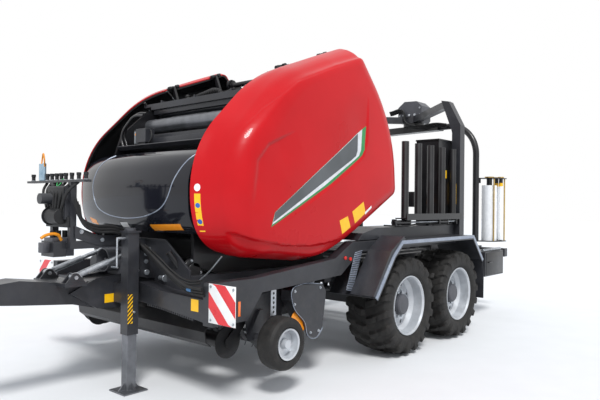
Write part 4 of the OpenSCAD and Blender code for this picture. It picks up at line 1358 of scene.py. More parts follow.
    def build(self) -> None:
        """Makes both doors."""
        left = sheet_of("door_shell_left", self.surface(0, *self.shell_grid, True, self.skin_t - 1))
        inset = self.skin_t + self.gap
        lining = sheet_of("door_liner_left",
                          self.surface(inset + self.lining_t, *self.lining_grid, False, -self.lining_t))
        lining.data.flip_normals()
        pieces = [(left, RED_PANEL, "door_left"), (lining, PLASTIC, "door_lining_left")]
        for name, finish, outline, lift in self.prints():
            sheet = skin(name, left, Plane.SIDE, outline, Vector((0, -1, 0)), lift, self.print_cuts)
            pieces.append((sheet, finish, None))
        for name, finish, outline in self.edge_strip():
            sheet = skin(name, left, Plane.FRONT, outline, Vector((-1, 0, 0)), self.vinyl, self.edge_cuts)
            pieces.append((sheet, finish, None))
        pieces.append((self.knuckles(), PLASTIC, None))
        for piece, finish, node in pieces:
            smoothed(piece, 50)
            other = copies(piece.name.replace("left", "right"), duplicate(piece), [MIRROR])
            dress(piece, finish, "side_door_left", *([node] if node else []))
            dress(other, finish, "side_door_right", *([node.replace("left", "right")] if node else []))

    def prints(self) -> list[tuple[str, Finish, tuple[Pair, ...], float]]:
        """The blank vinyl sheets on the door's face.

        Returns:
            Name, finish, outline as x and z, and lift of each sheet.
        """
        stickers = [(f"door_sticker_left_{i + 1}", YELLOW_VINYL, outline, self.vinyl)
                    for i, outline in enumerate(self.stickers)]
        return [
            ("wedge_edge_left", GREEN_VINYL, self.wedge_edge, self.vinyl),
            ("wedge_line_left", SILVER_VINYL, self.wedge_line, 2 * self.vinyl),
            ("wedge_left", GREY_VINYL, self.wedge, 3 * self.vinyl),
            ("door_label_left", BOARD_WHITE, self.label, self.vinyl),
            *stickers,
        ]

    def edge_strip(self) -> list[tuple[str, Finish, list[Pair]]]:
        """The blank vinyl strip on the door's front flange.

        Returns:
            Name, finish and outline of each part of the strip, as y and z.
        """
        (y0, y1), (z0, z1) = self.strip
        parts = [("edge_strip_left", YELLOW_VINYL, [(y0, z1), (y1, z1), (y1, z0), (y0, z0)])]
        for name, finish, y, z, half_y, half_z in self.ovals:
            turn = np.linspace(0, 2 * math.pi, self.oval_steps + 1)[:-1]
            parts.append((name, finish, [(y + half_y * math.cos(a), z + half_z * math.sin(a)) for a in turn]))
        return parts

    def knuckles(self) -> Piece:
        """The hinge knuckles along the door's upper edge.

        Returns:
            The knuckles as one piece.
        """
        slope = math.atan2(self.edge[1][1] - self.edge[0][1], self.edge[1][0] - self.edge[0][0])
        y = self.inner_y - self.knuckle_in
        low, high = self.leaf_reach
        dx, dz = self.knuckle_r * math.cos(slope), self.knuckle_r * math.sin(slope)
        parts = []
        for x in self.hinge_x:
            z = self.edge[0][1] + (x - self.edge[0][0]) * math.tan(slope) + self.knuckle_up
            for end in self.knuckle_ends:
                cx, cz = x + end * math.cos(slope), z + end * math.sin(slope)
                parts.append(rod("knuckle", (cx - dx, y, cz - dz), (cx + dx, y, cz + dz), self.knuckle_r))
                leaf = [(cx - dx, cz - dz + low), (cx + dx, cz + dz + low), (cx + dx, cz + dz + high),
                        (cx - dx, cz - dz + high)]
                parts.append(plate("leaf", Plane.SIDE, leaf, (y, y + self.leaf_depth)))
        return joined("door_hinges_left", parts)


@dataclass
class FrontHood:
    """The gloss-black hood in front of the chamber, with its bright U-shaped bead and blank strips."""

    rows: tuple[Pair, ...] = (
        (1270, 2880), (1330, 2945), (1480, 2995), (1650, 3000), (1800, 2965), (1900, 2895), (1955, 2800)
    )
    half_w: float = 800
    thickness: float = 22
    # How far the hood's ends fall back, and how sharply
    sag: float = 95
    sag_power: float = 2.4
    bead: tuple[Pair, ...] = (
        (-400, 1948), (-476, 1860), (-500, 1702), (-478, 1543), (-397, 1460), (-206, 1401), (46, 1379),
        (314, 1398), (533, 1463), (607, 1556), (649, 1683), (700, 1800), (772, 1930)
    )
    bead_r: float = 5.5
    bead_points: int = 40
    bead_rounds: int = 3
    seen_from: float = 4000
    grid: tuple[int, int] = (96, 56)
    ear: tuple[Pair, ...] = ((2636, 1901), (2636, 1949), (2760, 1950), (2835, 1900), (2760, 1905))
    ear_y: Pair = (560, 600)
    # Name, finish, outline and cuts of each blank sheet on the hood
    sheets: tuple[tuple[str, Finish, tuple[Pair, ...], int], ...] = (
        ("hood_strip_right", ORANGE_VINYL, ((-635, 1378), (-500, 1352), (-500, 1306), (-635, 1328)), 6),
        ("hood_strip_left", ORANGE_VINYL, ((350, 1336), (690, 1350), (690, 1300), (350, 1285)), 6),
        ("hood_plate", BOARD_WHITE, ((-61, 1345), (45, 1345), (45, 1300), (-61, 1300)), 4),
    )
    vinyl: float = 0.9

    def surface(self, columns: int, rows: int) -> np.ndarray:
        """Points of the hood's outer face.

        Args:
            columns: steps across.
            rows: steps from the bottom to the top.

        Returns:
            Rows and columns of points, in metres.
        """
        corners = np.array(self.rows, float)
        run = np.concatenate([[0], np.cumsum(np.linalg.norm(np.diff(corners, axis=0), axis=1))])
        steps = np.linspace(0, run[-1], rows + 1)
        z, front = through(run, corners[:, 0], steps), through(run, corners[:, 1], steps)
        y = np.linspace(-1, 1, columns + 1)
        x = front[:, None] - self.sag * np.abs(y[None, :]) ** self.sag_power
        points = np.stack([x + TANDEM_X * 1000, np.repeat(y[None, :] * self.half_w, rows + 1, 0),
                           np.repeat(z[:, None], columns + 1, 1)], axis=2)
        return points / 1000

    def build(self) -> None:
        """Makes the hood with its bead, strips and plate."""
        shell = sheet_of("hood_shell", self.surface(*self.grid))
        if shell.data.polygons[0].normal.x < 0:
            shell.data.flip_normals()
        modified(shell, "SOLIDIFY", thickness=self.thickness / 1000, offset=-1)
        eased(shell, 6, 3, 50)
        look = Vector((-1, 0, 0))
        bead = [hit(shell, at(self.seen_from, y, z), look) for y, z in self.resampled()]
        trim = hose("hood_bead", [self.back(p) for p in bead], self.bead_r, 2)
        ears = both_sides("hood_ears", plate("ear", Plane.SIDE, self.ear, self.ear_y))
        sheets = [(skin(name, shell, Plane.FRONT, outline, look, self.vinyl, cuts), finish)
                  for name, finish, outline, cuts in self.sheets]
        dress(shell, HOOD_BLACK, "front_hood", "hood")
        for piece, finish in ((trim, EDGE_ZINC), (ears, DARK_COAT), *sheets):
            dress(piece, finish, "front_hood")

    def resampled(self) -> np.ndarray:
        """The bead's line with close, rounded points.

        Returns:
            y and z of each point.
        """
        line = np.array(self.bead, float)
        run = np.concatenate([[0], np.cumsum(np.linalg.norm(np.diff(line, axis=0), axis=1))])
        steps = np.linspace(0, run[-1], self.bead_points)
        soft = np.stack([np.interp(steps, run, line[:, i]) for i in (0, 1)], axis=1)
        for _ in range(self.bead_rounds):
            soft[1:-1] = (soft[:-2] + 2 * soft[1:-1] + soft[2:]) / 4
        return soft

    def back(self, place: Vector) -> Triple:
        """Millimetres from the tandem of a place in metres, sunk a little into the hood."""
        return (place.x - TANDEM_X) * 1000 - 2, place.y * 1000, place.z * 1000


@dataclass
class Wheels:
    """Road tyres with curved lugs, and the hubs and nuts on their rims."""

    carcass: tuple[Pair, ...] = (
        (196, 286), (212, 300), (230, 330), (235, 334), (235, 341), (239, 347), (243, 378), (238, 418),
        (226, 440), (204, 458), (120, 466), (0, 469)
    )
    crown: tuple[Pair, ...] = (
        (196, 286), (212, 300), (230, 330), (235, 334), (235, 341), (239, 347), (244, 378), (249, 412),
        (249, 450), (230, 480), (120, 498), (0, 504)
    )
    lugs: int = 18
    columns: int = 360
    sweep: float = 0.6
    # Half a lug's share of the pitch at the middle of the tread, and what it gains to the shoulder
    lug_share: Pair = (0.2, 0.04)
    lug_slope: Pair = (-0.02, 0.03)
    lug_start: Pair = (0.01, 0.07)
    # Depth, place and width of the step across a lug
    lug_step: Triple = (0.45, 0.5, 0.045)
    half_width: float = 250
    track: float = 1195
    axle_z: float = 505
    reach: float = 556.5
    hub: tuple[Pair, ...] = ((0, 163), (52, 163), (70, 158), (89.5, 157), (101.5, 147), (111, 97), (0, 97))
    nuts: int = 10
    nut_ring: float = 127
    nut_face: float = 96.5
    valve: tuple[Triple, Triple] = ((205, 70, 0), (214, 118, 0))

    def surface(self) -> np.ndarray:
        """Points of a tyre round its own centre, from bead to bead.

        Returns:
            Rows and columns of points, in metres.
        """
        half = np.concatenate([np.linspace(0, 7, 12), np.linspace(7, 11, 20)[1:]])
        t = np.concatenate([half, half[-2::-1]])
        side = np.where(np.arange(len(t)) < len(half), 1, -1)
        knots = range(len(self.carcass))
        y0, r0 = (np.interp(t, knots, [row[i] for row in self.carcass]) for i in (0, 1))
        y1, r1 = (np.interp(t, knots, [row[i] for row in self.crown]) for i in (0, 1))
        turn = np.linspace(0, 2 * math.pi, self.columns + 1)
        u = y1 / self.half_width
        phase = turn[None, :] * self.lugs / (2 * math.pi) + (side * 0.25 - self.sweep * u**1.3)[:, None]
        share, gain = self.lug_share
        across = ramp((share + gain * u)[:, None] - np.abs(phase % 1 - 0.5), *self.lug_slope)
        lug = across * ramp(u, *self.lug_start)[:, None]
        depth, place, width = self.lug_step
        lug *= (1 - depth * np.exp(-((u - place) / width)**2))[:, None]
        r = r0[:, None] + lug * (r1 - r0)[:, None]
        y = side[:, None] * (y0[:, None] + lug * (y1 - y0)[:, None])
        return np.stack([r * np.cos(turn), y, r * np.sin(turn)], axis=2) / 1000

    def build(self) -> None:
        """Makes the four tyres and hubs."""
        tyre = sheet_of("tyre", self.surface())
        centre = tyre.data.polygons[len(tyre.data.polygons) // 2]
        if centre.normal.dot(Vector((centre.center.x, 0, centre.center.z))) < 0:
            tyre.data.flip_normals()
        smoothed(tyre, 45)
        hub = lathe("hub", self.hub, (0, 0, 0), (0, 1, 0), 40)
        ring = [(self.nut_ring * math.cos(a), self.nut_face, self.nut_ring * math.sin(a))
                for a in np.linspace(0, 2 * math.pi, self.nuts + 1)[:-1]]
        nuts = bolts("nuts", ring, (0, 1, 0), 30)
        valve = rod("valve", *self.valve, 6, 10)
        for pattern in (hub, nuts, valve):
            pattern.data.transform(Matrix.Translation(-at(0, 0, 0)))
        for end, way in (("front", 1), ("rear", -1)):
            for side, flip in (("left", Matrix.Identity(4)), ("right", MIRROR)):
                place = flip @ Matrix.Translation(at(way * self.reach, self.track, self.axle_z))
                for pattern, finish, nodes in (
                    (tyre, TYRE, ("tyre_",)), (hub, HOUSING, ()), (nuts, ZINC, ()), (valve, PLASTIC, ())
                ):
                    copy = copies(f"{pattern.name}_{end}_{side}", duplicate(pattern), [place])
                    dress(copy, finish, f"wheel_{end}_{side}", *[f"{n}{end}_{side}" for n in nodes])
        for pattern in (tyre, hub, nuts, valve):
            bpy.data.objects.remove(pattern)


@dataclass
class ChamberFront:
    """Beams, panels, cable guards and the control box above the hood."""

    guard_line: tuple[Pair, ...] = (
        (-434, 2633), (-396, 2581), (-194, 2618), (50, 2635), (136, 2569), (169, 2588), (299, 2612)
    )
    guard_x: float = 1950
    guard_r: float = 21
    ring_r: float = 25
    ring_half: float = 6
    ring_pitch: float = 26
    arch_line: tuple[Pair, ...] = ((-574, 2039), (-616, 2153), (-481, 2299), (-405, 2337), (-255, 2334))
    arch_x: float = 2600
    # Shift of the second pipe, and the radius of each
    arch_step: Pair = (-34, 26)
    arch_r: Pair = (14, 11)
    # Name, finish, then y and z of each button
    buttons: tuple[tuple[str, Finish, tuple[Pair, ...]], ...] = (
        ("box_buttons_orange", ORANGE_VINYL, ((-430, 2170), (-350, 2110))),
        ("box_buttons_blue", BLUE_VINYL, ((-390, 2170), (-310, 2110))),
        ("box_buttons_green", GREEN_VINYL, ((-310, 2170),)),
    )
    button_x: Pair = (2558, 2568)
    button_r: float = 11
    fittings: tuple[Fitting, ...] = (
        Bars("chamber_cross_tube", ANTHRACITE, (((2100, -640, 2435), (2100, 640, 2435), 36),)),
        Boxes("chamber_cross_beam", ANTHRACITE, (
            ((2165, 2215), (-640, 640), (2420, 2473)), ((2480, 2520), (-247, 523), (2048, 2128))
        )),
        Boxes("chamber_panels", PLASTIC, (
            ((2188, 2200), (-368, -110), (2160, 2381)), ((2188, 2200), (-100, 165), (2160, 2381))
        ), ease=4),
        Boxes("control_box", PLASTIC, (((2500, 2556), (-478, -230), (2068, 2216)),), ease=8),
        Boxes("control_box_face", GREY_CASE, (((2555, 2560), (-462, -246), (2084, 2200)),)),
        Hoses("control_box_cable", HOSE_RUBBER, ((
            ((2530, -240, 2110), (2575, -190, 2080), (2580, -150, 2130), (2560, -190, 2190),
             (2520, -250, 2180)), 8
        ),)),
        Bars("gas_strut_bodies", DARK_COAT, (
            ((2251, 750, 2552), (2200, 750, 2492), 13), ((1979, 750, 2713), (1910, 750, 2661), 13)
        ), both=True),
        Bars("gas_strut_rods", ZINC, (
            ((2200, 750, 2492), (2150, 750, 2434), 6), ((1910, 750, 2661), (1841, 750, 2609), 6)
        ), both=True),
    )

    def build(self) -> None:
        """Makes the pieces."""
        for fitting in (*self.fittings, *self.guard(), *self.panel_buttons()):
            fitting.build()

    def guard(self) -> list[Fitting]:
        """The ribbed guard round the cables, and the pipe arch beside it.

        Returns:
            Their fittings.
        """
        guard = [(self.guard_x, y, z) for y, z in self.guard_line]
        arch = [(self.arch_x, y, z) for y, z in self.arch_line]
        back, up = self.arch_step
        beside = [(x + back, y, z + up) for x, y, z in arch]
        rings = []
        for a, b in zip(guard[:-1], guard[1:]):
            count = max(2, round(math.dist(a, b) / self.ring_pitch))
            for k in range(count):
                share = (k + 0.5) / count
                middle = [p + (q - p) * share for p, q in zip(a, b)]
                along = [(q - p) / math.dist(a, b) * self.ring_half for p, q in zip(a, b)]
                ends = [tuple(m + s * d for m, d in zip(middle, along)) for s in (-1, 1)]
                rings.append((*ends, self.ring_r))
        return [
            Hoses("ribbed_hose_guard", HOSE_RUBBER, ((guard, self.guard_r),)),
            Bars("ribbed_hose_rings", HOSE_RUBBER, tuple(rings), sides=16),
            Hoses("front_pipe_arch", DARK_COAT, tuple(zip((arch, beside), self.arch_r))),
        ]

    def panel_buttons(self) -> list[Fitting]:
        """The round buttons of the control box.

        Returns:
            Their fittings, one for each colour.
        """
        near, far = self.button_x
        return [
            Bars(name, finish, tuple(((near, y, z), (far, y, z), self.button_r) for y, z in places), sides=16)
            for name, finish, places in self.buttons
        ]


@dataclass
class Mast:
    """Hose mast on the drawbar with parked couplings, and the hoses and pipes that run back from it."""

    cap_lines: tuple[float, ...] = (-525, -278, -199, -119, -45, 26, 120, 226, 332)
    cap_x: float = 3500
    # Bottom, top and radius of a cap's steps and of its collar
    cap_steps: tuple[Triple, ...] = ((1686, 1722, 15), (1722, 1745, 18))
    collar: Triple = (1687, 1694, 19)
    run: tuple[Triple, ...] = (
        (3500, 200, 1519), (3458, 200, 1377), (3368, 200, 1317), (3151, 200, 1291), (3012, 205, 1218),
        (3004, 387, 1131), (3004, 570, 1036), (3004, 764, 935), (3004, 928, 874), (3004, 1121, 863)
    )
    run_r: float = 13
    run_step: Pair = (14, 24)
    # x, share of the coupling's y, shift of y and z along a hose that hangs from a coupling
    drop: tuple[tuple[float, ...], ...] = (
        (3500, 1, 0, 1672), (3560, 0.8, 0, 1600), (3575, 0.5, 0, 1480), (3560, 0.3, -20, 1360)
    )
    drop_r: float = 11
    # The first coupling that a hose hangs from, and the one past the last
    hung: tuple[int, int] = (1, 8)
    pipe: tuple[Pair, ...] = ((363, 1171), (569, 1076), (742, 984), (927, 930), (1082, 945))
    pipe_x: float = 2992
    pipe_r: float = 8
    pipe_step: Pair = (14, -18)
    arm: tuple[Pair, ...] = (
        (3494, 1332), (3492, 1234), (3297, 1172), (3078, 1171), (3090, 1248), (3298, 1254)
    )
    fittings: tuple[Fitting, ...] = (
        Boxes("mast_panel", PLASTIC, (
            ((3522, 3545), (-206, 146), (1317, 1400)), ((3558, 3568), (-140, 120), (1400, 1630))
        ), ease=6),
        Bars("mast_socket", BLUE_ALLOY, (
            ((3500, -376, 1690), (3500, -376, 1830), 24), ((3500, -338, 1690), (3500, -338, 1834), 16)
        )),
        Hoses("socket_loop", ORANGE_HOSE, ((
            ((3500, -330, 1800), (3520, -300, 1880), (3500, -360, 1915), (3480, -415, 1880),
             (3500, -395, 1800)), 6
        ),)),
        Hoses("cap_strap", GREEN_STRAP, ((
            ((3500, -10, 1700), (3530, 0, 1660), (3540, -26, 1640), (3530, -55, 1660), (3500, -45, 1700)), 5
        ),)),
        Plates("mast_arm_plate", ANTHRACITE, ((arm, (160, 168)),)),
        Bolts("mast_arm_bolts", ZINC, ((3120, 168, 1210), (3260, 168, 1215), (3440, 168, 1285)), across=24),
        Hoses("inner_pipe", ZINC, ((((2800, 834, 911), (2800, 960, 1000), (2800, 1086, 1112)), 6),)),
        Bars("hose_marker", BLUE_SLEEVE, (((3004, 938, 871), (3004, 988, 869), 17),)),
        Bars("mast_clamp", BOARD_WHITE, (((3560, 30, 1426), (3560, 90, 1426), 17),)),
        Bars("mast_reel", PLASTIC, (
            ((3572, -76, 1404), (3572, 100, 1404), 60), ((3572, -80, 1404), (3572, -74, 1404), 72)
        ), sides=32),
        Hoses("valve_hose", ORANGE_HOSE, ((
            ((3730, 100, 1240), (3691, 100, 1262), (3601, 100, 1264), (3560, 80, 1220)), 12
        ),)),
        Boxes("valve_block", HOUSING, (
            ((3440, 3620), (-80, 60), (1090, 1236)), ((3620, 3680), (-50, 30), (1120, 1200))
        ), ease=5),
        Bars("valve_coils", PLASTIC, (
            ((3480, -20, 1236), (3480, -20, 1290), 20), ((3530, -20, 1236), (3530, -20, 1290), 20),
            ((3580, -20, 1236), (3580, -20, 1290), 20)
        )),
    )

    def build(self) -> None:
        """Makes the mast's pieces."""
        for fitting in (*self.couplings(), *self.fittings, *self.bundles()):
            fitting.build()

    def couplings(self) -> list[Fitting]:
        """The parked couplings on the mast's plate.

        Returns:
            The fittings of their caps and collars.
        """
        return [
            Bars(name, finish, tuple(((self.cap_x, y, low), (self.cap_x, y, high), radius)
                                     for y in self.cap_lines for low, high, radius in steps))
            for name, finish, steps in (
                ("coupling_caps", PLASTIC, self.cap_steps), ("coupling_collars", ZINC, (self.collar,))
            )
        ]

    def bundles(self) -> list[Fitting]:
        """The held hoses that run from the mast back to the chamber.

        Returns:
            Their fittings.
        """
        ahead, up = self.run_step
        trio = tuple(([(x + ahead * k, y, z + up * k) for x, y, z in self.run], self.run_r)
                     for k in (-1, 0, 1))
        hanging = tuple(([(x, y * share + shift, z) for x, share, shift, z in self.drop], self.drop_r)
                        for y in self.cap_lines[self.hung[0]:self.hung[1]])
        ahead, up = self.pipe_step
        pipes = tuple(([(self.pipe_x + ahead * k, y, z + up * k) for y, z in self.pipe], self.pipe_r)
                      for k in (0, 1))
        return [
            Hoses("hose_bundle", HOSE_RUBBER, trio), Hoses("mast_hoses", HOSE_RUBBER, hanging),
            Hoses("front_pipes", HOSE_RUBBER, pipes)
        ]


@dataclass
class DrawbarFittings:
    """Bracket, bearings, jack marks and small fittings on the drawbar and headstock."""

    bracket: tuple[Pair, ...] = (
        (3044, 1089), (3044, 1238), (2979, 1167), (2929, 1095), (2843, 880), (3007, 908), (3044, 924)
    )
    # The lower edge of the headstock beam, as places along it and their heights
    beam_edge: tuple[tuple[float, ...], ...] = ((0, 580, 1100), (715, 685, 635))
    tooth_x: Pair = (2964, 2978)
    tooth_w: float = 14
    tooth_run: tuple[int, int, int] = (388, 980, 27)
    tooth_z: Pair = (-18, 2)
    bearing: Triple = (2736, 672, 970)
    bearing_ring: float = 80
    bearing_bolts: int = 6
    bearing_turn: Pair = (0.3, 6.58)
    fittings: tuple[Fitting, ...] = (
        Plates("head_bracket", ANTHRACITE, ((bracket, (292, 300)),), both=True),
        Bolts("head_bracket_bolts", ZINC, (
            (3029, 300, 1094), (2936, 300, 1093), (2935, 300, 1030), (3020, 300, 960)
        ), both=True, across=26),
        Bars("link_pins", ZINC, (
            ((2930, 230, 940), (2930, 312, 940), 24), ((2852, 380, 894), (2852, 450, 894), 20),
            ((2852, 450, 894), (2852, 456, 894), 30)
        ), both=True),
        Bars("roller_bearings", DARK_COAT, (
            ((2736, 640, 970), (2736, 672, 970), 98), ((2736, 672, 970), (2736, 690, 970), 62),
            ((2560, 640, 1010), (2560, 672, 1010), 70)
        ), both=True, sides=36),
        Bars("lift_cylinders", DARK_COAT, (((2900, 560, 1120), (2800, 600, 960), 24),), both=True),
        Bars("lift_rods", ZINC, (((2800, 600, 960), (2720, 630, 830), 12),), both=True),
        Boxes("head_sticker", YELLOW_VINYL, (((2979.5, 2980.8), (950, 1036), (707, 797)),), ease=0),
        Boxes("drawbar_sticker", YELLOW_VINYL, (((3140, 3222), (149.6, 150.8), (700, 770)),), ease=0),
        Boxes("jack_mark_base", YELLOW_VINYL, (((3103, 3149), (369.5, 370.6), (548, 782)),), ease=0),
        Stripes("jack_mark", PLASTIC, (((3103, 3149), (548, 782)),), depth=370.6, pitch=33),
        Bars("jack_pin", ZINC, (((3100, 250, 640), (3100, 392, 640), 9),)),
        Bars("jack_head", HOUSING, (((3100, 320, 1288), (3100, 320, 1310), 44),), sides=32),
        Bolts("eye_bolts", ZINC, ((4180, 0, 905), (4120, 0, 915), (4180, 0, 760)), axis=(0, 0, 1), across=30),
        Bolts("head_bolts", ZINC, tuple((2980, y, z) for y in (160, 240) for z in (680, 760, 860)), both=True,
              axis=(1, 0, 0), across=28),
    )

    def build(self) -> None:
        """Makes the fittings."""
        for fitting in (*self.fittings, self.ring(), self.teeth()):
            fitting.build()

    def ring(self) -> Fitting:
        """The bolts round the roller's bearing.

        Returns:
            Their fitting.
        """
        x, y, z = self.bearing
        angles = np.linspace(*self.bearing_turn, self.bearing_bolts + 1)[:-1]
        ring = self.bearing_ring
        places = tuple((x + ring * math.cos(a), y, z + ring * math.sin(a)) for a in angles)
        return Bolts("bearing_bolts", ZINC, places, both=True, across=18)

    def teeth(self) -> Fitting:
        """The row of small teeth under the headstock beam.

        Returns:
            Their fitting.
        """
        low, high = self.tooth_z
        rows = []
        for y in range(*self.tooth_run):
            edge = float(np.interp(y, *self.beam_edge))
            rows.append((self.tooth_x, (y, y + self.tooth_w), (edge + low, edge + high)))
        return Boxes("head_teeth", ANTHRACITE, tuple(rows), both=True, ease=1)


@dataclass
class Markings:
    """Warning boards, reflectors and lamps."""

    fittings: tuple[Fitting, ...] = (
        Boxes("warning_boards", BOARD_WHITE, (((2992, 2996), (1170, 1455), (650, 936)),), both=True, ease=1,
              replaced=("front_boards",)),
        Boxes("board_brackets", ANTHRACITE, (((2988, 2992), (1180, 1300), (680, 900)),), both=True, ease=1),
        Stripes("board_stripes", BOARD_RED, (((1171, 1454), (651, 935)),), both=True, plane=Plane.FRONT,
                depth=2996, pitch=234),
        Bolts("board_screws", ZINC, tuple((2996, y, z) for y in (1192, 1433) for z in (672, 914)), both=True,
              axis=(1, 0, 0), across=14),
        Bars("beam_caps", RED_LENS, (
            ((1374, 1200, 1021), (1374, 1212, 1021), 17), ((1295, 1200, 1007), (1295, 1212, 1007), 17)
        ), both=True),
        Boxes("side_reflectors", AMBER_LENS, (((2707, 2731), (1199, 1204), (660, 773)),), both=True),
        Boxes("perforated_bar", ZINC, (((2288, 2350), (1176, 1182), (611, 821)),), both=True),
        # Black discs stand for the bar's holes: painted shade in place of what is seen through them
        Bars("bar_hole_shade", PLASTIC, tuple(((2319, 1180, z), (2319, 1183, z), 12) for z in range(640, 820, 38)),
             both=True),
        Bars("lamp_arm", PLASTIC, (
            ((-337, 1200, 956), (-470, 1290, 922), 16), ((-470, 1290, 922), (-560, 1300, 914), 26)
        ), both=True),
        Bars("side_lamp_white", WHITE_LENS, (((-560, 1300, 915), (-610, 1322, 915), 46),),
             both=True, sides=32),
        Bars("side_lamp_amber", AMBER_LENS, (((-612, 1323, 915), (-640, 1332, 915), 42),),
             both=True, sides=32),
        Boxes("rear_lamp_case", PLASTIC, (((-2424, -2404), (930, 1160), (610, 690)),), both=True, ease=6),
        Boxes("rear_lamp_red", RED_LENS, (((-2427, -2422), (940, 1040), (618, 682)),), both=True),
        Boxes("rear_lamp_amber", AMBER_LENS, (((-2427, -2422), (1046, 1150), (618, 682)),), both=True),
        Boxes("rear_box_lid", DARK_COAT, (((-2396, -1830), (1190, 1196), (590, 885)),), both=True, ease=3),
        Bars("rear_box_tube", ZINC, (((-1800, 1150, 922), (-2390, 1150, 922), 20),), both=True),
        Bars("rear_box_handle", DARK_COAT, (
            ((-1990, 1196, 760), (-1990, 1210, 760), 8), ((-1890, 1196, 760), (-1890, 1210, 760), 8),
            ((-1998, 1212, 760), (-1882, 1212, 760), 8)
        ), both=True),
    )

    def build(self) -> None:
        """Makes the markings."""
        for fitting in self.fittings:
            fitting.build()


@dataclass
class SideFittings:
    """Edge strips of the mudguards, boot cover edges, and the gear under the film racks."""

    guard_line: tuple[Pair, ...] = ((1260, 660), (960, 1040), (800, 1169), (-820, 1169), (-1090, 870))
    guard_band: Pair = (-5, 30)
    guard_y: Pair = (1463, 1475.5)
    tread: tuple[Pair, ...] = ((1215, 1064), (1091, 1081), (1249, 698), (1350, 720))
    tread_y: Pair = (1198, 1202)
    ribs: int = 17
    rib_r: float = 4
    # How far the ribs lie out on the tread, and the shares of its length between which they stand
    rib_out: float = 1
    rib_shares: Pair = (0.03, 0.97)
    cover_line: tuple[Pair, ...] = (
        (1690, 812), (2000, 830), (2095, 795), (2095, 700), (2055, 620), (1930, 500), (1880, 375),
        (1770, 345), (1680, 420)
    )
    cover_y: float = 1186
    cover_r: float = 3
    rack_first: float = 289
    rack_pitch: float = 280
    rack_tubes: int = 5
    rack_y: float = 1190
    rim_z: Pair = (2203, 2206.5)
    rim_r: float = 40.5
    fittings: tuple[Fitting, ...] = (
        Bars("boot_disc", ORANGE_VINYL, (((1970, 1148, 511), (1970, 1158, 511), 105),), both=True, sides=40),
        Bolts("boot_bolts", ZINC, (
            (1720, 1185, 780), (2060, 1185, 780), (2065, 1185, 670), (1740, 1185, 400), (1850, 1185, 400)
        ), both=True, across=18),
        Bars("rack_cylinders", DARK_COAT, (
            ((560, 1215, 1336), (250, 1215, 1336), 27), ((-420, 1215, 1336), (-620, 1215, 1336), 25)
        ), both=True),
        Bars("rack_rods", ZINC, (
            ((250, 1215, 1336), (-420, 1215, 1336), 11), ((-620, 1215, 1336), (-860, 1215, 1336), 11)
        ), both=True),
        Boxes("rack_lugs", DARK_COAT, tuple(
            ((x - 12, x + 12), (1190, 1240), (1300, 1372)) for x in (540, 245, -415, -625, -850)
        ), both=True),
        Hoses("rack_hoses", HOSE_RUBBER, ((
            ((700, 1195, 1310), (420, 1240, 1300), (200, 1230, 1308), (-100, 1200, 1318), (-420, 1235, 1300),
             (-800, 1200, 1312)), 9
        ),), both=True),
        Boxes("cabinet_sticker", YELLOW_VINYL, (((-785, -735), (1129.6, 1131), (1852, 1949)),), ease=0),
        Boxes("leg_sticker", YELLOW_VINYL, (((-900.4, -899), (1150, 1204), (1540, 1792)),),
              both=True, ease=0),
        Bars("leg_sticker_mark", RED_LENS, (((-899.5, 1177, 1562), (-898.4, 1177, 1562), 15),), both=True),
        Boxes("wrap_valve", PLASTIC, (((-453, -294), (880, 960), (1500, 1680)),), ease=6),
        Boxes("wrap_valve_label", ORANGE_VINYL, (((-420, -330), (959, 962), (1560, 1610)),), ease=0),
    )

    def build(self) -> None:
        """Makes the fittings."""
        for fitting in (*self.edges(), *self.fittings, self.rims()):
            fitting.build()

    def edges(self) -> list[Fitting]:
        """The bright edge of the mudguard, its ribbed tread and the boot cover's edge.

        Returns:
            Their fittings.
        """
        strip = tuple(band(self.guard_line, *self.guard_band))
        (x0, z0), (x1, z1), (x2, z2), (x3, z3) = self.tread
        rib_y = self.tread_y[1] + self.rib_out
        ribs = []
        for share in np.linspace(*self.rib_shares, self.ribs):
            rear = (x1 + (x2 - x1) * share, rib_y, z1 + (z2 - z1) * share)
            front = (x0 + (x3 - x0) * share, rib_y, z0 + (z3 - z0) * share)
            ribs.append((rear, front, self.rib_r))
        cover = [(x, self.cover_y, z) for x, z in self.cover_line]
        return [
            Plates("guard_edge", EDGE_ZINC, ((strip, self.guard_y),), both=True, ease=1),
            Plates("guard_tread", EDGE_ZINC, ((self.tread, self.tread_y),), both=True),
            Bars("guard_tread_ribs", ANTHRACITE, tuple(ribs), both=True, sides=8),
            Hoses("boot_edge", EDGE_ZINC, ((cover, self.cover_r),), both=True),
        ]

    def rims(self) -> Fitting:
        """The rims on the upper ends of the rack's tubes.

        Returns:
            Their fitting.
        """
        xs = [self.rack_first - self.rack_pitch * k for k in range(self.rack_tubes)]
        low, high = self.rim_z
        rims = tuple(((x, self.rack_y, low), (x, self.rack_y, high), self.rim_r) for x in xs)
        return Bars("rack_tube_rims", ANTHRACITE, rims, both=True)


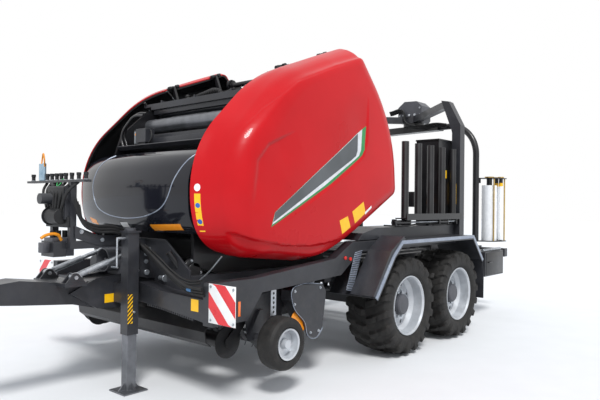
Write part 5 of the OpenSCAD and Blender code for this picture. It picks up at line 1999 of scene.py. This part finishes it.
@dataclass
class WrapperFittings:
    """Cables, film stretchers and gears of the bale wrapper."""

    axis_x: float = -1950
    turn: float = -8
    reach: float = 1060
    film: Pair = (-190, 90)
    rollers: tuple[Pair, ...] = ((-340, 110), (-290, 205))
    guides: tuple[Pair, ...] = ((-366, 215), (-125, 200))
    low_z: float = 1052
    high_z: float = 1892
    roller_top_z: float = 1796
    roll_top_z: float = 1806
    # Heights over the upper plate and radius of the gears on the film's axis and on the rollers
    film_gear: Triple = (12, 30, 62)
    roller_gear: Triple = (12, 28, 40)
    roller_gap: float = 8
    roller_r: float = 26.6
    # Heights over the roller's top and radius of its cap
    roller_cap: Triple = (-6, 40, 27.4)
    guide_r: float = 9.8
    spindle_r: float = 14
    core_h: float = 5
    core_r: float = 38.5
    cable: tuple[Pair, ...] = ((-317, 2893), (-87, 2897), (-58, 2747), (138, 2658), (457, 2668), (612, 2644))
    cable_x: float = -1800
    cable_r: float = 13
    cable_step: Pair = (16, 20)
    fittings: tuple[Fitting, ...] = (
        Bars("motor_ports", ZINC, tuple(((-1830, y, 2850), (-1806, y, 2850), 18) for y in (-90, 0, 90))),
        Bolts("motor_bolts", ZINC, tuple((-1830, y, z) for y in (-165, 165) for z in (2850, 2950)),
              axis=(1, 0, 0)),
    )

    def place(self, side: int, spot: Pair, z: float) -> Triple:
        """Place of a spot on a film dispenser.

        Args:
            side: 1 for the left arm, -1 for the other.
            spot: the spot, seen along the arm's turn.
            z: its height.

        Returns:
            The place in millimetres from the tandem.
        """
        a = math.radians(self.turn + (0 if side > 0 else 180))
        x, y = spot[0], self.reach + spot[1]
        return self.axis_x + x * math.cos(a) - y * math.sin(a), x * math.sin(a) + y * math.cos(a), z

    def posts(self, side: int, spots: Sequence[Pair], low: float, high: float, radius: float) -> tuple:
        """Upright rods at spots on a film dispenser."""
        return tuple((self.place(side, s, low), self.place(side, s, high), radius) for s in spots)

    def dispenser(self, side: int, word: str) -> list[Fitting]:
        """The visible gear of one film dispenser.

        Args:
            side: 1 for the left arm, -1 for the other.
            word: the side's name.

        Returns:
            The fittings.
        """
        top, roller_top, roll_top = self.high_z, self.roller_top_z, self.roll_top_z
        arms = "wrapping_arms"
        gears = ()
        for spots, (low, high, radius) in (([self.film], self.film_gear), (self.rollers, self.roller_gear)):
            gears += self.posts(side, spots, top + low, top + high, radius)
        rollers = self.posts(side, self.rollers, self.low_z + self.roller_gap, roller_top, self.roller_r)
        low, high, radius = self.roller_cap
        caps = self.posts(side, self.rollers, roller_top + low, roller_top + high, radius)
        guides = self.posts(side, self.guides, self.low_z, top, self.guide_r)
        spindle = self.posts(side, [self.film], roll_top, top, self.spindle_r)
        core = self.posts(side, [self.film], roll_top - self.core_h, roll_top, self.core_r)
        return [
            Bars(f"stretch_rollers_{word}", FILM, rollers, body=arms, sides=28),
            Bars(f"stretch_caps_{word}", YELLOW_VINYL, caps, body=arms, sides=28),
            Bars(f"film_guides_{word}", GOLD_ZINC, guides, body=arms, sides=14),
            Bars(f"film_gears_{word}", GOLD_ZINC, gears, body=arms, sides=36),
            Bars(f"film_spindles_{word}", ZINC, spindle, body=arms),
            Bars(f"film_cores_{word}", CARDBOARD, core, body=f"film_{word}", sides=32),
        ]

    def build(self) -> None:
        """Makes the fittings."""
        ahead, up = self.cable_step
        cables = tuple(([(self.cable_x + ahead * k, y, z + up * k) for y, z in self.cable], self.cable_r)
                       for k in (-1, 0, 1))
        for fitting in (*self.dispenser(1, "left"), *self.dispenser(-1, "right"),
                        Hoses("motor_cables", HOSE_RUBBER, cables), *self.fittings):
            fitting.build()


@dataclass(frozen=True)
class Viewpoint:
    """Where the photograph was taken from."""

    place: Triple = (4.9988, 4.4665, 1.5189)
    yaw: float = 220.774
    pitch: float = 0.400
    roll: float = 0.630
    lens: float = 35.33
    sensor: float = 36
    sight: float = 200

    def build(self) -> None:
        """Sets the camera."""
        yaw, pitch, roll = (math.radians(a) for a in (self.yaw, self.pitch, self.roll))
        ahead = Vector((math.cos(yaw) * math.cos(pitch), math.sin(yaw) * math.cos(pitch), math.sin(pitch)))
        right = Vector((math.sin(yaw), -math.cos(yaw), 0))
        up = right.cross(ahead)
        across = math.cos(roll) * right + math.sin(roll) * up
        upward = -math.sin(roll) * right + math.cos(roll) * up
        data = bpy.data.cameras.new("viewpoint")
        data.lens = self.lens
        data.sensor_width = self.sensor
        data.clip_end = self.sight
        camera = bpy.data.objects.new("viewpoint", data)
        turn = Matrix((across, upward, -ahead)).transposed().to_4x4()
        camera.matrix_world = Matrix.Translation(Vector(self.place)) @ turn
        bpy.context.scene.collection.objects.link(camera)
        bpy.context.scene.camera = camera


@dataclass(frozen=True)
class Studio:
    """Plain pale floor and soft light from above and the front left."""

    sun: float = 2.6
    sun_angle: float = 14
    sun_way: Triple = (-0.55, -0.6, -1.0)
    sky: float = 0.85
    sky_colour: str = "#e8eef6"
    floor_size: float = 120
    floor_colour: str = "#e6e7e8"
    floor_shade: str = "#dfe0e1"

    def build(self) -> None:
        """Makes the floor, the sky and the sun."""
        start()
        bpy.ops.mesh.primitive_plane_add(size=self.floor_size, location=(0, 0, -0.001))
        floor = named("studio_floor")
        made = bpy.data.materials.new("pale_matt_floor")
        made.use_nodes = True
        tree = made.node_tree
        tree.nodes.clear()
        place = add_node(tree, "ShaderNodeTexCoord").outputs["Object"]
        speckle = add_node(tree, "ShaderNodeTexNoise", {"Scale": 3.0, "Detail": 6.0}, Vector=place)
        tone = add_node(tree, "ShaderNodeMix", {"data_type": "RGBA"})
        tree.links.new(speckle.outputs[0], tone.inputs[0])
        tone.inputs[MIX_A].default_value = linear(self.floor_colour)
        tone.inputs[MIX_B].default_value = linear(self.floor_shade)
        surface = add_node(tree, "ShaderNodeBsdfPrincipled", {"Roughness": 0.9},
                           Base_Color=tone.outputs[MIX_OUT])
        add_node(tree, "ShaderNodeOutputMaterial", Surface=surface.outputs[0])
        floor.data.materials.append(made)
        self.light_sky()
        sun = bpy.data.lights.new("sun", "SUN")
        sun.energy = self.sun
        sun.angle = math.radians(self.sun_angle)
        lamp = bpy.data.objects.new("sun", sun)
        lamp.rotation_euler = Vector(self.sun_way).to_track_quat("-Z", "Y").to_euler()
        bpy.context.scene.collection.objects.link(lamp)

    def light_sky(self) -> None:
        """Gives the world a soft sky that the camera and glossy surfaces see as plain white."""
        world = bpy.data.worlds.new("studio_sky")
        bpy.context.scene.world = world
        world.use_nodes = True
        tree = world.node_tree
        tree.nodes.clear()
        path = add_node(tree, "ShaderNodeLightPath")
        seen = path.outputs["Is Camera Ray"]
        for name in ("Is Glossy Ray", "Is Transmission Ray"):
            either = add_node(tree, "ShaderNodeMath", {"operation": "MAXIMUM"})
            tree.links.new(seen, either.inputs[0])
            tree.links.new(path.outputs[name], either.inputs[1])
            seen = either.outputs[0]
        soft = add_node(tree, "ShaderNodeBackground", {
            "Color": linear(self.sky_colour), "Strength": self.sky
        })
        plain = add_node(tree, "ShaderNodeBackground", {"Color": (1, 1, 1, 1), "Strength": 1.0})
        mix = add_node(tree, "ShaderNodeMixShader", Fac=seen)
        tree.links.new(soft.outputs[0], mix.inputs[1])
        tree.links.new(plain.outputs[0], mix.inputs[2])
        add_node(tree, "ShaderNodeOutputWorld", Surface=mix.outputs[0])


def main() -> None:
    """Builds the scene in order and notes its size."""
    logging.basicConfig(level=logging.INFO, format="%(name)s: %(message)s")
    bpy.context.scene.view_settings.view_transform = "Standard"
    parts = (Viewpoint(), Studio(), CadFinishes(), SideDoors(), FrontHood(), Wheels(), ChamberFront(), Mast(),
             DrawbarFittings(), Markings(), SideFittings(), WrapperFittings())
    for part in parts:
        part.build()
        log.info("%s done", type(part).__name__)


if __name__ == "__main__":
    main()
